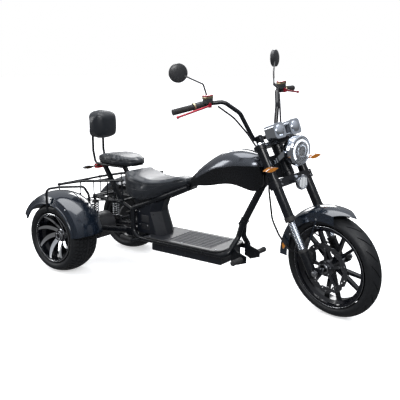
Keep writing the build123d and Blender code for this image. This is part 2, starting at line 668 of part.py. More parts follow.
# ---------------------------------------------------------------- seats
def plan_outline(stations):
    """A closed face in plan from (x, half width) stations, symmetric in y."""
    left = [(x, half) for x, half in stations]
    right = [(x, -half) for x, half in reversed(stations)]
    return make_face(Polyline(*left, *right, close=True))


def seat_floor(x):
    """Underside of the driver's seat, just above the seat rails and the pan."""
    return seat_rail_z(x) + RAIL_R / cos(radians(23)) + 6


def build_driver_seat():
    side = make_face([
        Polyline((-500, 510), (-556, 566), (-562, 640), (-538, 676), (-512, 680)),
        ThreePointArc((-512, 680), (-318, 627), (-140, 668)),
        Polyline((-140, 668), (-104, 672), (-88, 662), (-84, seat_floor(-84)),
                 (-360, seat_floor(-360)), (-500, 510))])
    side = extrude(Plane.XZ * side, amount=200, both=True)
    plan = extrude(fillet(plan_outline([(-564, 84), (-530, 124), (-440, 150), (-330, 140), (-226, 88),
                                 (-150, 60), (-60, 50)]).vertices(), 18), amount=900)
    cushion = side & plan
    keep("driver_seat", cushion)

    pan = side_plate([(-500, 509.7), (-360, seat_floor(-360) - 0.3), (-84, seat_floor(-84) - 0.3),
                      (-84, seat_floor(-84) - 5), (-424, seat_floor(-424) - 5), (-480, 472)],
                     -84, 84)
    plan = extrude(plan_outline([(-520, 78), (-440, 84), (-330, 80), (-226, 60), (-150, 46),
                                 (-60, 36)]), amount=900)
    keep("seat_pan", (pan & plan))


def build_cover():
    """Moulded housing under the driver's seat, closed at the front and sides."""
    def under_rail(x):
        return seat_rail_z(x) - RAIL_R / cos(radians(23)) - 1

    low, rear_x = FLOOR_TOP + 0.3, -462.0
    half, nose_half, taper = 90.0, 30.0, 44.0
    # height, front end on the centre plane
    rows = [(low, -257), (low + 28, -266), (422, -308), (440, -303), (512, -275), (560, -245)]

    def level(z, nose_x):
        return Pos(0, 0, z) * make_face(Polyline(
            (rear_x, -half), (nose_x - taper, -half), (nose_x, -nose_half),
            (nose_x, nose_half), (nose_x - taper, half), (rear_x, half), close=True))

    above = side_plate([(rear_x - 9, under_rail(rear_x - 9)), (-200, under_rail(-200)),
                        (-200, 700), (rear_x - 9, 700)], -2 * half, 2 * half)
    cover = loft([level(*row) for row in rows], ruled=True) - above
    keep("body_cover", cover)


def build_passenger():
    """Lens-shaped rear seat on its frame, and the backrest behind it."""
    top, low = 754.0, SEAT_BASE_Z + 0.3
    side = make_face([
        Polyline((-850, low), (-868, 716), (-862, 738)),
        ThreePointArc((-862, 738), (-680, top + 5), (-512, 738)),
        Polyline((-512, 738), (-504, 716), (-518, low), (-850, low))])
    block = extrude(Plane.XZ * side, amount=200, both=True)
    plan = plan_outline([(-869, 34), (-770, 84), (-652, 113), (-584, 102), (-526, 72), (-503, 26)])
    plan = extrude(fillet(plan.vertices(), 18), amount=900)
    keep("passenger_seat", block & plan)

    rail_z = SEAT_BASE_Z - PLATE_T - 8 + 0.5
    rails = [rod((-790, s * 74, rail_z), (-585, s * 74, rail_z), 8) for s in (-1, 1)]
    bars = [rod((x, -74, rail_z), (x, 74, rail_z), 7) for x in (-770, -600)]
    plate = extrude(plan_outline([(-846, 36), (-770, 78), (-652, 104), (-590, 94), (-520, 48)]),
                    amount=PLATE_T)
    plate = Pos(0, 0, SEAT_BASE_Z - PLATE_T) * plate
    keep("passenger_frame", rails[0] + rails[1] + bars + plate)

    tube_y, tube_x, tube_r = 48.0, -893.0, 8.0
    right = [(-777.3, -tube_y, HOOP_Z), (-874, -tube_y, HOOP_Z), (tube_x, -tube_y, 770),
             (tube_x, -tube_y, 1020)]
    hoop = [*right, *[(x, -y, z) for x, y, z in reversed(right)]]
    bar = pipe(hoop, tube_r, (30, 40, 40, 40, 40, 30))
    keep("backrest_frame", bar)

    outline = make_hull([e for c in (Pos(-53, 42) * Circle(50), Pos(53, 42) * Circle(50),
                                     Pos(-60, -52) * Circle(40), Pos(60, -52) * Circle(40))
                         for e in c.edges()])
    cushion = extrude(Plane(origin=(-884.7, 0, 950), x_dir=(0, 1, 0), z_dir=(1, 0, 0)) * outline,
                      amount=112)
    cushion = fillet(cushion.faces().sort_by(Axis.X)[-1].outer_wire().edges(), 20)
    plan = plan_outline([(-884.8, 84), (-872, 98), (-850, 103), (-800, 103), (-780, 90),
                         (-771, 60)])
    cushion &= Pos(0, 0, 800) * extrude(plan, amount=300)
    keep("backrest_pad", cushion)


# ---------------------------------------------------------------- rear frame
def build_rear_frame():
    """Side rails, seat struts and shock mounts behind the driver's seat."""
    y = 84.0
    rails = [pipe([(-492, s * y, 404), (-600, s * y, 452), (-866, s * y, 464)], 13, (60,))
             for s in (-1, 1)]
    struts = [square_bar((-592, s * y, 448), (-752, s * y, 690), 24) for s in (-1, 1)]
    cross = [rod((x, -half, z), (x, half, z), 11)
             for x, z, half in ((-866, 464, y), (-620, 453, y), (-478, 404, 97.2))]
    cross.append(rod((SHOCK_X, -ARM_Y - 14, 462), (SHOCK_X, ARM_Y + 14, 462), 10))
    above = Pos(-752, 0, SEAT_BASE_Z - PLATE_T - 15.7) * Box(200, 300, 60, align=(Align.CENTER, Align.CENTER, Align.MIN))
    keep("rear_frame", Part() + rails + struts + cross - above)

    arms = [pipe([(ARM_PIVOT[0], s * ARM_Y, ARM_PIVOT[1]),
                  (REAR_AXLE_X, s * ARM_Y, REAR_TYRE_R)], ARM_R) for s in (-1, 1)]
    pivot_half = ARM_Y + ARM_R + PIVOT_END
    pivot = rod((ARM_PIVOT[0], -pivot_half, ARM_PIVOT[1]),
                (ARM_PIVOT[0], pivot_half, ARM_PIVOT[1]), 22)
    collars = [disc(40, s * ARM_Y - 16, s * ARM_Y + 16) for s in (-1, 1)]
    at_axle = Location((REAR_AXLE_X, 0, REAR_TYRE_R))
    collars = [collar.moved(at_axle) for collar in collars]
    beam = disc(26.1, -200, 200).moved(at_axle)
    keep("swing_arm", Part() + arms + pivot + collars - beam)

    hub_inner = TRACK_HALF - 123
    half = disc(26, MOTOR_HALF + 0.2, hub_inner) + disc(AXLE_R, hub_inner, TRACK_HALF + 24)
    axle = Location((REAR_AXLE_X, 0, REAR_TYRE_R))
    keep("rear_axle", pair(half.moved(axle)))

    motor = disc(90, -MOTOR_HALF, MOTOR_HALF)
    keep("drive_motor", motor.moved(axle))

    damper = rod((SHOCK_X, -ARM_Y, 266.0), (SHOCK_X, -ARM_Y, 451.8), 9)
    coils, wire_r, coil_r, first_z = 7, 5.5, 21.5, 296.0
    pitch = (418 - first_z) / (coils - 1)
    damper += rod((SHOCK_X, -ARM_Y, 280), (SHOCK_X, -ARM_Y, 430), 17)
    for z in (280, 424):
        damper += rod((SHOCK_X, -ARM_Y, z), (SHOCK_X, -ARM_Y, z + 6), 28)
    for i in range(coils):
        damper += Pos(SHOCK_X, -ARM_Y, first_z + i * pitch) * Torus(coil_r, wire_r)
    keep("shock_absorbers", pair(damper))


def build_fenders():
    """Bulbous rear mudguards turned about the axle, with a rolled lip."""
    wall, lip = 4.0, 8.0
    outer_y, inner_y = FENDER_OUT, -FENDER_IN
    rows = [(232, -outer_y), (276, -outer_y + 12), (300, 0), (278, -inner_y - 12), (250, -inner_y)]

    def arc(offset):
        (a, b, c, d, e) = rows
        return [(a[0], a[1] + offset), (b[0] - offset * 0.7, b[1] + offset * 0.7),
                (c[0] - offset, c[1]), (d[0] - offset * 0.7, d[1] - offset * 0.7),
                (e[0], e[1] - offset)]

    out, inn = arc(0), arc(wall)
    section = make_face([
        Line(out[0], out[1]), ThreePointArc(out[1], out[2], out[3]), Line(out[3], out[4]),
        Line(out[4], inn[4]), Line(inn[4], inn[3]), ThreePointArc(inn[3], inn[2], inn[1]),
        Line(inn[1], inn[0]), Line(inn[0], out[0])])
    bead = make_face(Pos(232, -outer_y) * Circle(lip).edge())
    up = Axis((0, 0, 0), (0, -1, 0))
    start, end = 9.0, 152.0
    shell = revolve((section + bead).rotate(up, start), up, end - start)
    right = shell.moved(Location((REAR_AXLE_X - FENDER_BACK, -TRACK_HALF, REAR_TYRE_R)))
    keep("rear_fender_right", right)
    keep("rear_fender_left", mirrored(right))


RACK_Y = TRACK_HALF - 141
RACK_RAIL = [(-1092, 534), (-871, 581), (-484, 629)]
RACK_DROP = 128.0             # upper rail to the lower wire


def rack_z(x):
    """Height of the luggage rack's upper rail."""
    (x0, z0), (x1, z1), (x2, z2) = RACK_RAIL
    if x < x1:
        return z0 + (x - x0) * (z1 - z0) / (x1 - x0)
    return z1 + (x - x1) * (z2 - z1) / (x2 - x1)


def build_rack():
    # x, outboard of the tyre's middle plane, z
    run = [(-885, 137.3, 424), (-885, 137.3, 570), (-850, 63, 575), (-740, -47, 575),
           (-726, -75, 520), (-722, -77, 466)]
    guard = pipe([(x, -TRACK_HALF - out, z) for x, out, z in run], 8, (30, 40, 30, 30))
    keep("guard_rails", pair(guard))

    x0, x1, x2 = [x for x, _ in RACK_RAIL]
    rails = [pipe([(x, s * RACK_Y, z) for x, z in RACK_RAIL], 9, (600,)) for s in (-1, 1)]
    lows = [pipe([(x, s * RACK_Y, z - RACK_DROP) for x, z in RACK_RAIL], 5, (600,)) for s in (-1, 1)]
    cross = [rod((x0, -RACK_Y, rack_z(x0)), (x0, RACK_Y, rack_z(x0)), 8)]
    for s in (-1, 1):
        strut_x = -700.0
        cross.append(rod((strut_x, s * RACK_Y, rack_z(strut_x)),
                         (strut_x, s * 96.2, rack_z(strut_x)), 8))
        low_x = -862.0
        cross.append(rod((low_x, s * RACK_Y, rack_z(low_x) - RACK_DROP),
                         (low_x, s * 97.4, rack_z(low_x) - RACK_DROP), 5))
        stay_x, stay_z = x1, 497.0
        cross.append(rod((stay_x, s * RACK_Y, stay_z), (stay_x, s * (TRACK_HALF - FENDER_IN + 2.8), stay_z), 5))
    posts = [rod((x, s * RACK_Y, rack_z(x) - RACK_DROP), (x, s * RACK_Y, rack_z(x)), 4)
             for s in (-1, 1) for x in (x0 + 4, x1, -745, -620, -560, x2 - 4)]
    keep("luggage_rack", Part() + rails + lows + cross + posts)


def build_pegs():
    # from the cradle's corner, z
    outline = [(0, 310), (42, 275), (105, 256), (105, 217), (42, 194), (0, 214)]
    plate = side_plate([(CRADLE_CORNER_X + x, z) for x, z in outline], -78, -72)
    peg_x = CRADLE_CORNER_X + 76
    peg = rod((peg_x, -78, 236), (peg_x, -172, 236), 12)
    keep("front_pegs", pair(plate + peg - cradle_arm(-1, RAIL_R + 0.2)))
    rear = rod((-440, -168, 240), (-532, -168, 248), 12)
    arm = rod((-392, -RAIL_Y - RAIL_R - 7.9, RAIL_Z), (-440, -168, 240), 8)
    keep("rear_pegs", pair(rear + arm))


def build_rear_lamps():
    stalk_x, stalk_r = -840.0, 5.0
    stalk_z = HOOP_Z - 8 - stalk_r - 0.2
    stalk = rod((stalk_x, -42, stalk_z), (stalk_x, -112, stalk_z), stalk_r)
    body = Location((stalk_x, -152, stalk_z)) * leaf_pod(45, 10, 11)
    keep("rear_signals", pair(stalk + body))
    lamp = Pos(-872, 0, HOOP_Z - 22.2) * Box(30, 96, 28)
    keep("tail_lamp", lamp)


build_wheels()
build_fork()
build_front_fender()
build_handlebar()
build_lamps()
build_controls()
build_front_brake()
build_frame()
build_floor()
build_tank()
build_driver_seat()
build_cover()
build_passenger()
build_rear_frame()
build_fenders()
build_rack()
build_pegs()
build_rear_lamps()

os.makedirs("parts", exist_ok=True)
for name, shape in NODES.items():
    export_step(shape, f"parts/{name}.step")
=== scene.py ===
"""Detailed visual model of a three-wheeled electric chopper scooter.

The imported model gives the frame: every piece made here rides on one of its bodies and
sits where the CAD piece it dresses sits. Lengths are metres, X forward, Y to the
rider's left, Z up. Each sub-assembly is a class that builds and dresses its own pieces.
"""

import logging
import math
from dataclasses import dataclass
from enum import Enum
from typing import Callable, ClassVar, Dict, List, Optional, Sequence, Tuple, Union

import bmesh
import bpy
from mathutils import Matrix, Vector
from mathutils.bvhtree import BVHTree


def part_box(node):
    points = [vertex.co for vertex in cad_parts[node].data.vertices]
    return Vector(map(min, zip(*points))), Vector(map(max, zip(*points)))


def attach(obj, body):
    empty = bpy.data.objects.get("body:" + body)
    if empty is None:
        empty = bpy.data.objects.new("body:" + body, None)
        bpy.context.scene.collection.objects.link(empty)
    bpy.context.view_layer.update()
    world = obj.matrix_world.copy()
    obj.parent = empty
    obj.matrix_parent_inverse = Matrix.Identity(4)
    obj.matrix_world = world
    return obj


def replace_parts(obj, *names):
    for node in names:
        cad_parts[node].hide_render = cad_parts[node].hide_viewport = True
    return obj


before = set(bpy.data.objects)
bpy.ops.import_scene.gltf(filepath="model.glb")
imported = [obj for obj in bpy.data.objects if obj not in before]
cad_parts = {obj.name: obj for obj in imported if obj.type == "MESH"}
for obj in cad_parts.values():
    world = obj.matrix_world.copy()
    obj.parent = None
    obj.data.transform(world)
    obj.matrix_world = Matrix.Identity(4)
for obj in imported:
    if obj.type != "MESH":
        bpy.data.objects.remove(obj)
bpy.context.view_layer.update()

log = logging.getLogger("trike")
Point = Tuple[float, float, float]
Row = Tuple[float, float]

SIDES = (-1, 1)                             # right, left
REAR_AXLE: Point = (-0.9, 0.337, 0.238)     # middle of the left rear wheel
SHOCK_TOP = (-0.838, 0.462)                 # x and z of the upper shock eyes
DOWN_TUBE_FOOT: Point = (0.308, 0, 0.455)
DOWN_TUBE_TOP: Point = (0.474, 0, 0.770)
FLOOR_TOP = 0.277
BLADE_ROOT: Row = (0.036, 0.022)            # radius and height where a rim blade starts
BLADE_TIP: Row = (0.1504, 0.092)            # and where it ends


# ------------------------------------------------------------------ finishes
class Relief(Enum):
    """Small-scale surface relief that a finish can carry."""

    SMOOTH = "smooth"
    GRAIN = "grain"
    CAST = "cast"
    BRUSHED = "brushed"


@dataclass(frozen=True)
class Finish:
    """How one surface looks.

    Args:
        name: Material name.
        base: Linear base colour.
        rough: Roughness of the clean surface.
        metal: Metallic value.
        coat: Clear coat weight.
        relief: Kind of fine relief.
        scale: Scale of the relief's texture, per metre.
        depth: Height of the relief in metres.
        mottle: How far the colour varies from place to place.
        wear: How strongly edges are rubbed bright.
        dust: How much dust lies on upward faces.
        sheen: Sheen weight for soft goods.
        glow: Emission strength of the base colour.
        clear: Transmission weight.
        spec: Strength of the plain reflection.
    """

    name: str
    base: Point
    rough: float = 0.4
    metal: float = 0.0
    coat: float = 0.0
    relief: Relief = Relief.SMOOTH
    scale: float = 400.0
    depth: float = 0.0002
    mottle: float = 0.08
    wear: float = 0.0
    dust: float = 0.06
    sheen: float = 0.0
    glow: float = 0.0
    clear: float = 0.0
    spec: float = 0.5


class Look(Enum):
    """Every finish of the vehicle."""

    FRAME = Finish("frame_satin", (0.004, 0.0048, 0.0065), 0.28, 0.0, 0.05, Relief.CAST, 900, 0.00003,
        wear=0.15, dust=0.01, spec=0.28)
    FORK = Finish("fork_gloss", (0.0035, 0.0045, 0.0065), 0.2, 0.0, 0.15, Relief.CAST, 500, 0.00001,
        wear=0.1, dust=0.01, spec=0.3)
    FENDER = Finish("fender_metallic", (0.007, 0.012, 0.021), 0.19, 0.3, 0.9, Relief.SMOOTH, mottle=0.04,
        wear=0.0, dust=0.0)
    PANEL = Finish("panel_graphite", (0.06, 0.066, 0.078), 0.2, 0.7, 0.7, Relief.SMOOTH, mottle=0.03,
        wear=0.0, dust=0.0)
    TANK = Finish("tank_gloss", (0.0025, 0.003, 0.004), 0.1, 0.0, 0.4, Relief.SMOOTH, mottle=0.03, wear=0.0,
        dust=0.0, spec=0.25)
    PLASTIC = Finish("moulded_plastic", (0.006, 0.0075, 0.011), 0.3, 0.0, 0.1, Relief.GRAIN, 1500, 0.00005,
        wear=0.12, dust=0.02, spec=0.35)
    MAT = Finish("floor_rubber", (0.008, 0.0095, 0.014), 0.34, 0.0, 0.1, Relief.CAST, 1200, 0.00008, 0.12,
        0.2, 0.03, spec=0.5)
    LEATHER = Finish("seat_hide", (0.0075, 0.0095, 0.013), 0.38, 0.0, 0.08, Relief.GRAIN, 620, 0.00018,
        0.14, 0.08, 0.02, 0.05, spec=0.4)
    # seat_hide_top_painted_highlight: a lighter copy of seat_hide that paints a highlight on the upward
    # faces of the seats
    LEATHER_TOP_PAINTED_HIGHLIGHT = Finish("seat_hide_top_painted_highlight", (0.016, 0.02, 0.026), 0.4, 0.0, 0.1, Relief.GRAIN, 560, 0.0002,
        0.14, 0.08, 0.02, 0.08, spec=0.5)
    CHROME = Finish("chrome", (0.62, 0.66, 0.72), 0.07, 1.0, 0.0, Relief.CAST, 60, 0.00001, 0.04, 0.0, 0.02)
    STEEL = Finish("turned_steel", (0.42, 0.43, 0.45), 0.27, 1.0, 0.0, Relief.BRUSHED, 700, 0.00003, 0.1,
        0.3)
    DARK_STEEL = Finish("ground_disc", (0.09, 0.092, 0.1), 0.32, 0.9, 0.0, Relief.BRUSHED, 800, 0.00004,
        0.14, 0.35)
    SPRING = Finish("spring_paint", (0.012, 0.013, 0.015), 0.26, 0.2, 0.5, Relief.CAST, 700, 0.00004,
        wear=0.3, spec=0.4)
    RIM = Finish("rim_gloss", (0.0025, 0.003, 0.005), 0.16, 0.0, 0.35, Relief.CAST, 300, 0.00001, wear=0.15,
        dust=0.01, spec=0.3)
    POLISHED = Finish("polished_alloy", (0.66, 0.67, 0.69), 0.16, 1.0, 0.2, Relief.BRUSHED, 500, 0.00002,
        0.06, 0.0)
    TYRE = Finish("tyre_rubber", (0.006, 0.0068, 0.0085), 0.5, 0.0, 0.0, Relief.CAST, 900, 0.0001, 0.15,
        0.15, 0.03, spec=0.35)
    GRIP = Finish("grip_rubber", (0.013, 0.013, 0.014), 0.62, 0.0, 0.0, Relief.CAST, 1500, 0.00008, 0.12,
        0.2)
    CABLE = Finish("cable_sheath", (0.006, 0.006, 0.008), 0.45, 0.0, 0.05, Relief.CAST, 900, 0.00005,
        spec=0.25)
    CONTROL = Finish("control_satin", (0.016, 0.017, 0.019), 0.42, 0.0, 0.2, Relief.CAST, 1100, 0.00006,
        wear=0.3)
    CALIPER = Finish("caliper_satin", (0.024, 0.025, 0.028), 0.4, 0.2, 0.3, Relief.CAST, 800, 0.0001,
        wear=0.4)
    GOLD = Finish("pale_gold", (0.46, 0.38, 0.24), 0.32, 1.0, 0.2, Relief.BRUSHED, 900, 0.00003, wear=0.2)
    RED = Finish("anodised_red", (0.42, 0.012, 0.035), 0.26, 0.7, 0.5, Relief.BRUSHED, 900, 0.00002,
        wear=0.25)
    AMBER = Finish("amber_lens", (0.42, 0.15, 0.015), 0.14, 0.0, 0.7, Relief.BRUSHED, 300, 0.0001, 0.1,
        glow=0.0)
    LENS_RED = Finish("red_lens", (0.4, 0.012, 0.016), 0.14, 0.0, 0.8, Relief.BRUSHED, 300, 0.0001, 0.08)
    GLASS = Finish("lamp_glass", (0.9, 0.93, 0.95), 0.03, 0.0, 0.5, mottle=0.0, dust=0.02, clear=0.92)
    SMOKED = Finish("smoked_lens", (0.02, 0.012, 0.008), 0.12, 0.0, 0.6, Relief.BRUSHED, 300, 0.00005, 0.05,
        dust=0.01)
    # Rib rubber much lighter than the floor mat: a painted highlight along the fine floor ribs.
    RIB_PAINTED_HIGHLIGHT = Finish("rib_rubber_painted_highlight", (0.06, 0.066, 0.08), 0.3, 0.0, 0.1, Relief.CAST, 1200, 0.00005, 0.1, 0.2,
        0.02)
    DISH = Finish("dark_reflector", (0.03, 0.035, 0.045), 0.22, 0.6, 0.4, Relief.CAST, 300, 0.00003)
    LIGHT = Finish("light_ring", (0.92, 0.95, 1.0), 0.3, glow=0.9, mottle=0.02, dust=0.0)
    MIRROR = Finish("mirror_silver", (0.85, 0.87, 0.88), 0.02, 1.0, mottle=0.02, dust=0.03)
    DIAL = Finish("dial_face", (0.015, 0.017, 0.022), 0.35, 0.0, 0.4, Relief.CAST, 600, 0.00003)
    TICK = Finish("dial_tick", (0.75, 0.77, 0.78), 0.5, glow=0.1)


class Wiring:
    """Adds nodes to one shader tree and feeds their inputs."""

    def __init__(self, tree: bpy.types.NodeTree) -> None:
        """Keeps the tree that the nodes go to."""
        self.tree = tree

    def feed(self, socket: bpy.types.NodeSocket, value: object) -> None:
        """Links an output to an input, or gives the input a plain value."""
        if isinstance(value, bpy.types.NodeSocket):
            self.tree.links.new(value, socket)
        else:
            socket.default_value = value

    def node(self, kind: str, ins: Optional[Dict[object, object]] = None,
             **settings: object) -> bpy.types.Node:
        """Adds one node.

        Args:
            kind: Node type without its "ShaderNode" prefix.
            ins: Outputs or plain values, by the name or number of the input.
            settings: Properties of the node itself.

        Returns:
            The new node.
        """
        made = self.tree.nodes.new("ShaderNode" + kind)
        for label, value in settings.items():
            setattr(made, label, value)
        for label, value in (ins or {}).items():
            self.feed(made.inputs[label], value)
        return made

    def math(self, operation: str, *values: object, clamp: bool = False) -> bpy.types.NodeSocket:
        """The result of one operation on outputs and numbers."""
        return self.node("Math", dict(enumerate(values)), operation=operation, use_clamp=clamp).outputs[0]


Outputs = Dict[str, bpy.types.NodeSocket]
Wire = Callable[[Wiring, Outputs, bpy.types.NodeSocket], Outputs]


class Effects:
    """Shared shader node groups; each gives only colours, masks, values or normals."""

    @staticmethod
    def _shared(name: str, ins: Dict[str, object], outs: Dict[str, str], wire: Wire) -> bpy.types.NodeTree:
        """A node group, wired on first use.

        Args:
            name: Name of the group.
            ins: Default of each input; 4 numbers are a colour and 3 a vector.
            outs: Socket kind of each output.
            wire: Gets the wiring, the inputs and object-space places; gives the outputs.

        Returns:
            The group.
        """
        found = bpy.data.node_groups.get(name)
        if found:
            return found
        tree = bpy.data.node_groups.new(name, "ShaderNodeTree")
        for label, value in ins.items():
            kind = {4: "Color", 3: "Vector"}[len(value)] if isinstance(value, tuple) else "Float"
            socket = tree.interface.new_socket(name=label, in_out="INPUT", socket_type="NodeSocket" + kind)
            socket.default_value = value
        for label, kind in outs.items():
            tree.interface.new_socket(name=label, in_out="OUTPUT", socket_type="NodeSocket" + kind)
        given, out = tree.nodes.new("NodeGroupInput"), tree.nodes.new("NodeGroupOutput")
        wiring = Wiring(tree)
        place = wiring.node("TexCoord").outputs["Object"]
        for label, value in wire(wiring, given.outputs, place).items():
            wiring.feed(out.inputs[label], value)
        return tree

    @classmethod
    def mottle(cls) -> bpy.types.NodeTree:
        """Colour that drifts a little lighter and darker over the surface."""
        def wire(w: Wiring, given: Outputs, place: bpy.types.NodeSocket) -> Outputs:
            noise = w.node("TexNoise", {"Vector": place, "Scale": given["Scale"], "Detail": 6.0})
            drift = w.math("MULTIPLY", w.math("SUBTRACT", noise.outputs["Fac"], 0.5), 2.4)
            share = w.math("MULTIPLY_ADD", drift, given["Amount"], 1.0)
            shade = w.node("VectorMath", operation="SCALE")
            w.feed(shade.inputs[0], given["Color"])
            w.feed(shade.inputs["Scale"], share)
            return {"Color": shade.outputs["Vector"]}

        return cls._shared("fx_mottle", {"Color": (1, 1, 1, 1), "Scale": 12.0, "Amount": 0.1},
                           {"Color": "Color"}, wire)

    @classmethod
    def smudge(cls) -> bpy.types.NodeTree:
        """Roughness with hand and weather marks."""
        def wire(w: Wiring, given: Outputs, place: bpy.types.NodeSocket) -> Outputs:
            noise = w.node("TexNoise", {"Vector": place, "Scale": given["Scale"], "Detail": 5.0,
                                        "Distortion": 0.6})
            off = w.math("SUBTRACT", noise.outputs["Fac"], 0.5)
            return {"Value": w.math("MULTIPLY_ADD", off, given["Spread"], given["Base"], clamp=True)}

        return cls._shared("fx_smudge", {"Base": 0.4, "Spread": 0.1, "Scale": 25.0}, {"Value": "Float"},
                           wire)

    @classmethod
    def relief(cls, kind: Relief) -> bpy.types.NodeTree:
        """Fine bump of one kind.

        Args:
            kind: Pebbled grain, orange peel or brushed lines.

        Returns:
            The node group, with a Height mask and a bumped Normal.
        """
        def wire(w: Wiring, given: Outputs, place: bpy.types.NodeSocket) -> Outputs:
            if kind is Relief.BRUSHED:
                place = w.node("Mapping", {"Scale": (0.08, 1.0, 1.0), "Vector": place}).outputs["Vector"]
            if kind is Relief.GRAIN:
                cells = w.node("TexVoronoi", {"Vector": place, "Scale": given["Scale"]},
                               feature="SMOOTH_F1")
                height = cells.outputs["Distance"]
            else:
                noise = w.node("TexNoise", {"Vector": place, "Scale": given["Scale"], "Detail": 3.0})
                height = noise.outputs["Fac"]
            bump = w.node("Bump", {"Strength": 0.8, "Distance": given["Depth"], "Height": height})
            return {"Height": height, "Normal": bump.outputs["Normal"]}

        return cls._shared("fx_relief_" + kind.value, {"Scale": 400.0, "Depth": 0.0002},
                           {"Height": "Float", "Normal": "Vector"}, wire)

    @classmethod
    def wear(cls) -> bpy.types.NodeTree:
        """Mask of rubbed outer edges, broken up by noise."""
        def wire(w: Wiring, given: Outputs, place: bpy.types.NodeSocket) -> Outputs:
            rounded = w.node("Bevel", {"Radius": given["Radius"]}, samples=3)
            flat = w.node("NewGeometry")
            dot = w.node("VectorMath", {0: rounded.outputs["Normal"], 1: flat.outputs["Normal"]},
                         operation="DOT_PRODUCT")
            edge = w.node("MapRange", {"Value": dot.outputs["Value"], "From Min": 0.985, "From Max": 0.85})
            noise = w.node("TexNoise", {"Vector": place, "Scale": 90.0, "Detail": 5.0})
            broken = w.node("MapRange", {"Value": noise.outputs["Fac"], "From Min": 0.42, "From Max": 0.62})
            both = w.math("MULTIPLY", edge.outputs["Result"], broken.outputs["Result"])
            return {"Mask": w.math("MULTIPLY", both, given["Amount"], clamp=True)}

        return cls._shared("fx_wear", {"Amount": 0.3, "Radius": 0.0016}, {"Mask": "Float"}, wire)

    @classmethod
    def dust(cls) -> bpy.types.NodeTree:
        """Mask of dust on faces that look up."""
        def wire(w: Wiring, given: Outputs, place: bpy.types.NodeSocket) -> Outputs:
            split = w.node("SeparateXYZ", {0: w.node("NewGeometry").outputs["Normal"]})
            up = w.node("MapRange", {"Value": split.outputs["Z"], "From Min": 0.2})
            noise = w.node("TexNoise", {"Vector": place, "Scale": 35.0, "Detail": 7.0})
            both = w.math("MULTIPLY", up.outputs["Result"], noise.outputs["Fac"])
            return {"Mask": w.math("MULTIPLY", both, given["Amount"], clamp=True)}

        return cls._shared("fx_dust", {"Amount": 0.1}, {"Mask": "Float"}, wire)

    @classmethod
    def cone_face(cls) -> bpy.types.NodeTree:
        """Mask of the outer faces of blades that run down a cone about the Y axis."""
        band, hub_r = 0.0022, 0.0385

        def wire(w: Wiring, given: Outputs, place: bpy.types.NodeSocket) -> Outputs:
            away = w.node("VectorMath", {0: place, 1: given["Centre"]}, operation="SUBTRACT")
            split = w.node("SeparateXYZ", {0: away.outputs["Vector"]})
            x, y, z = (split.outputs[i] for i in range(3))
            radius = w.math("SQRT", w.math("ADD", w.math("MULTIPLY", x, x), w.math("MULTIPLY", z, z)))
            climb = w.math("MULTIPLY", w.math("SUBTRACT", radius, BLADE_ROOT[0]), given["Slope"])
            ideal = w.math("ADD", given["Root"], climb)
            off = w.math("ABSOLUTE", w.math("SUBTRACT", w.math("ABSOLUTE", y), ideal))
            on_face = w.math("LESS_THAN", off, band)
            inside = w.math("LESS_THAN", radius, given["Tip"])
            clear_of_hub = w.math("GREATER_THAN", radius, hub_r)
            return {"Mask": w.math("MULTIPLY", w.math("MULTIPLY", on_face, inside), clear_of_hub)}

        return cls._shared("fx_cone_face", {"Centre": (0, 0, 0), "Root": 0.02, "Slope": 0.6, "Tip": 0.15},
                           {"Mask": "Float"}, wire)


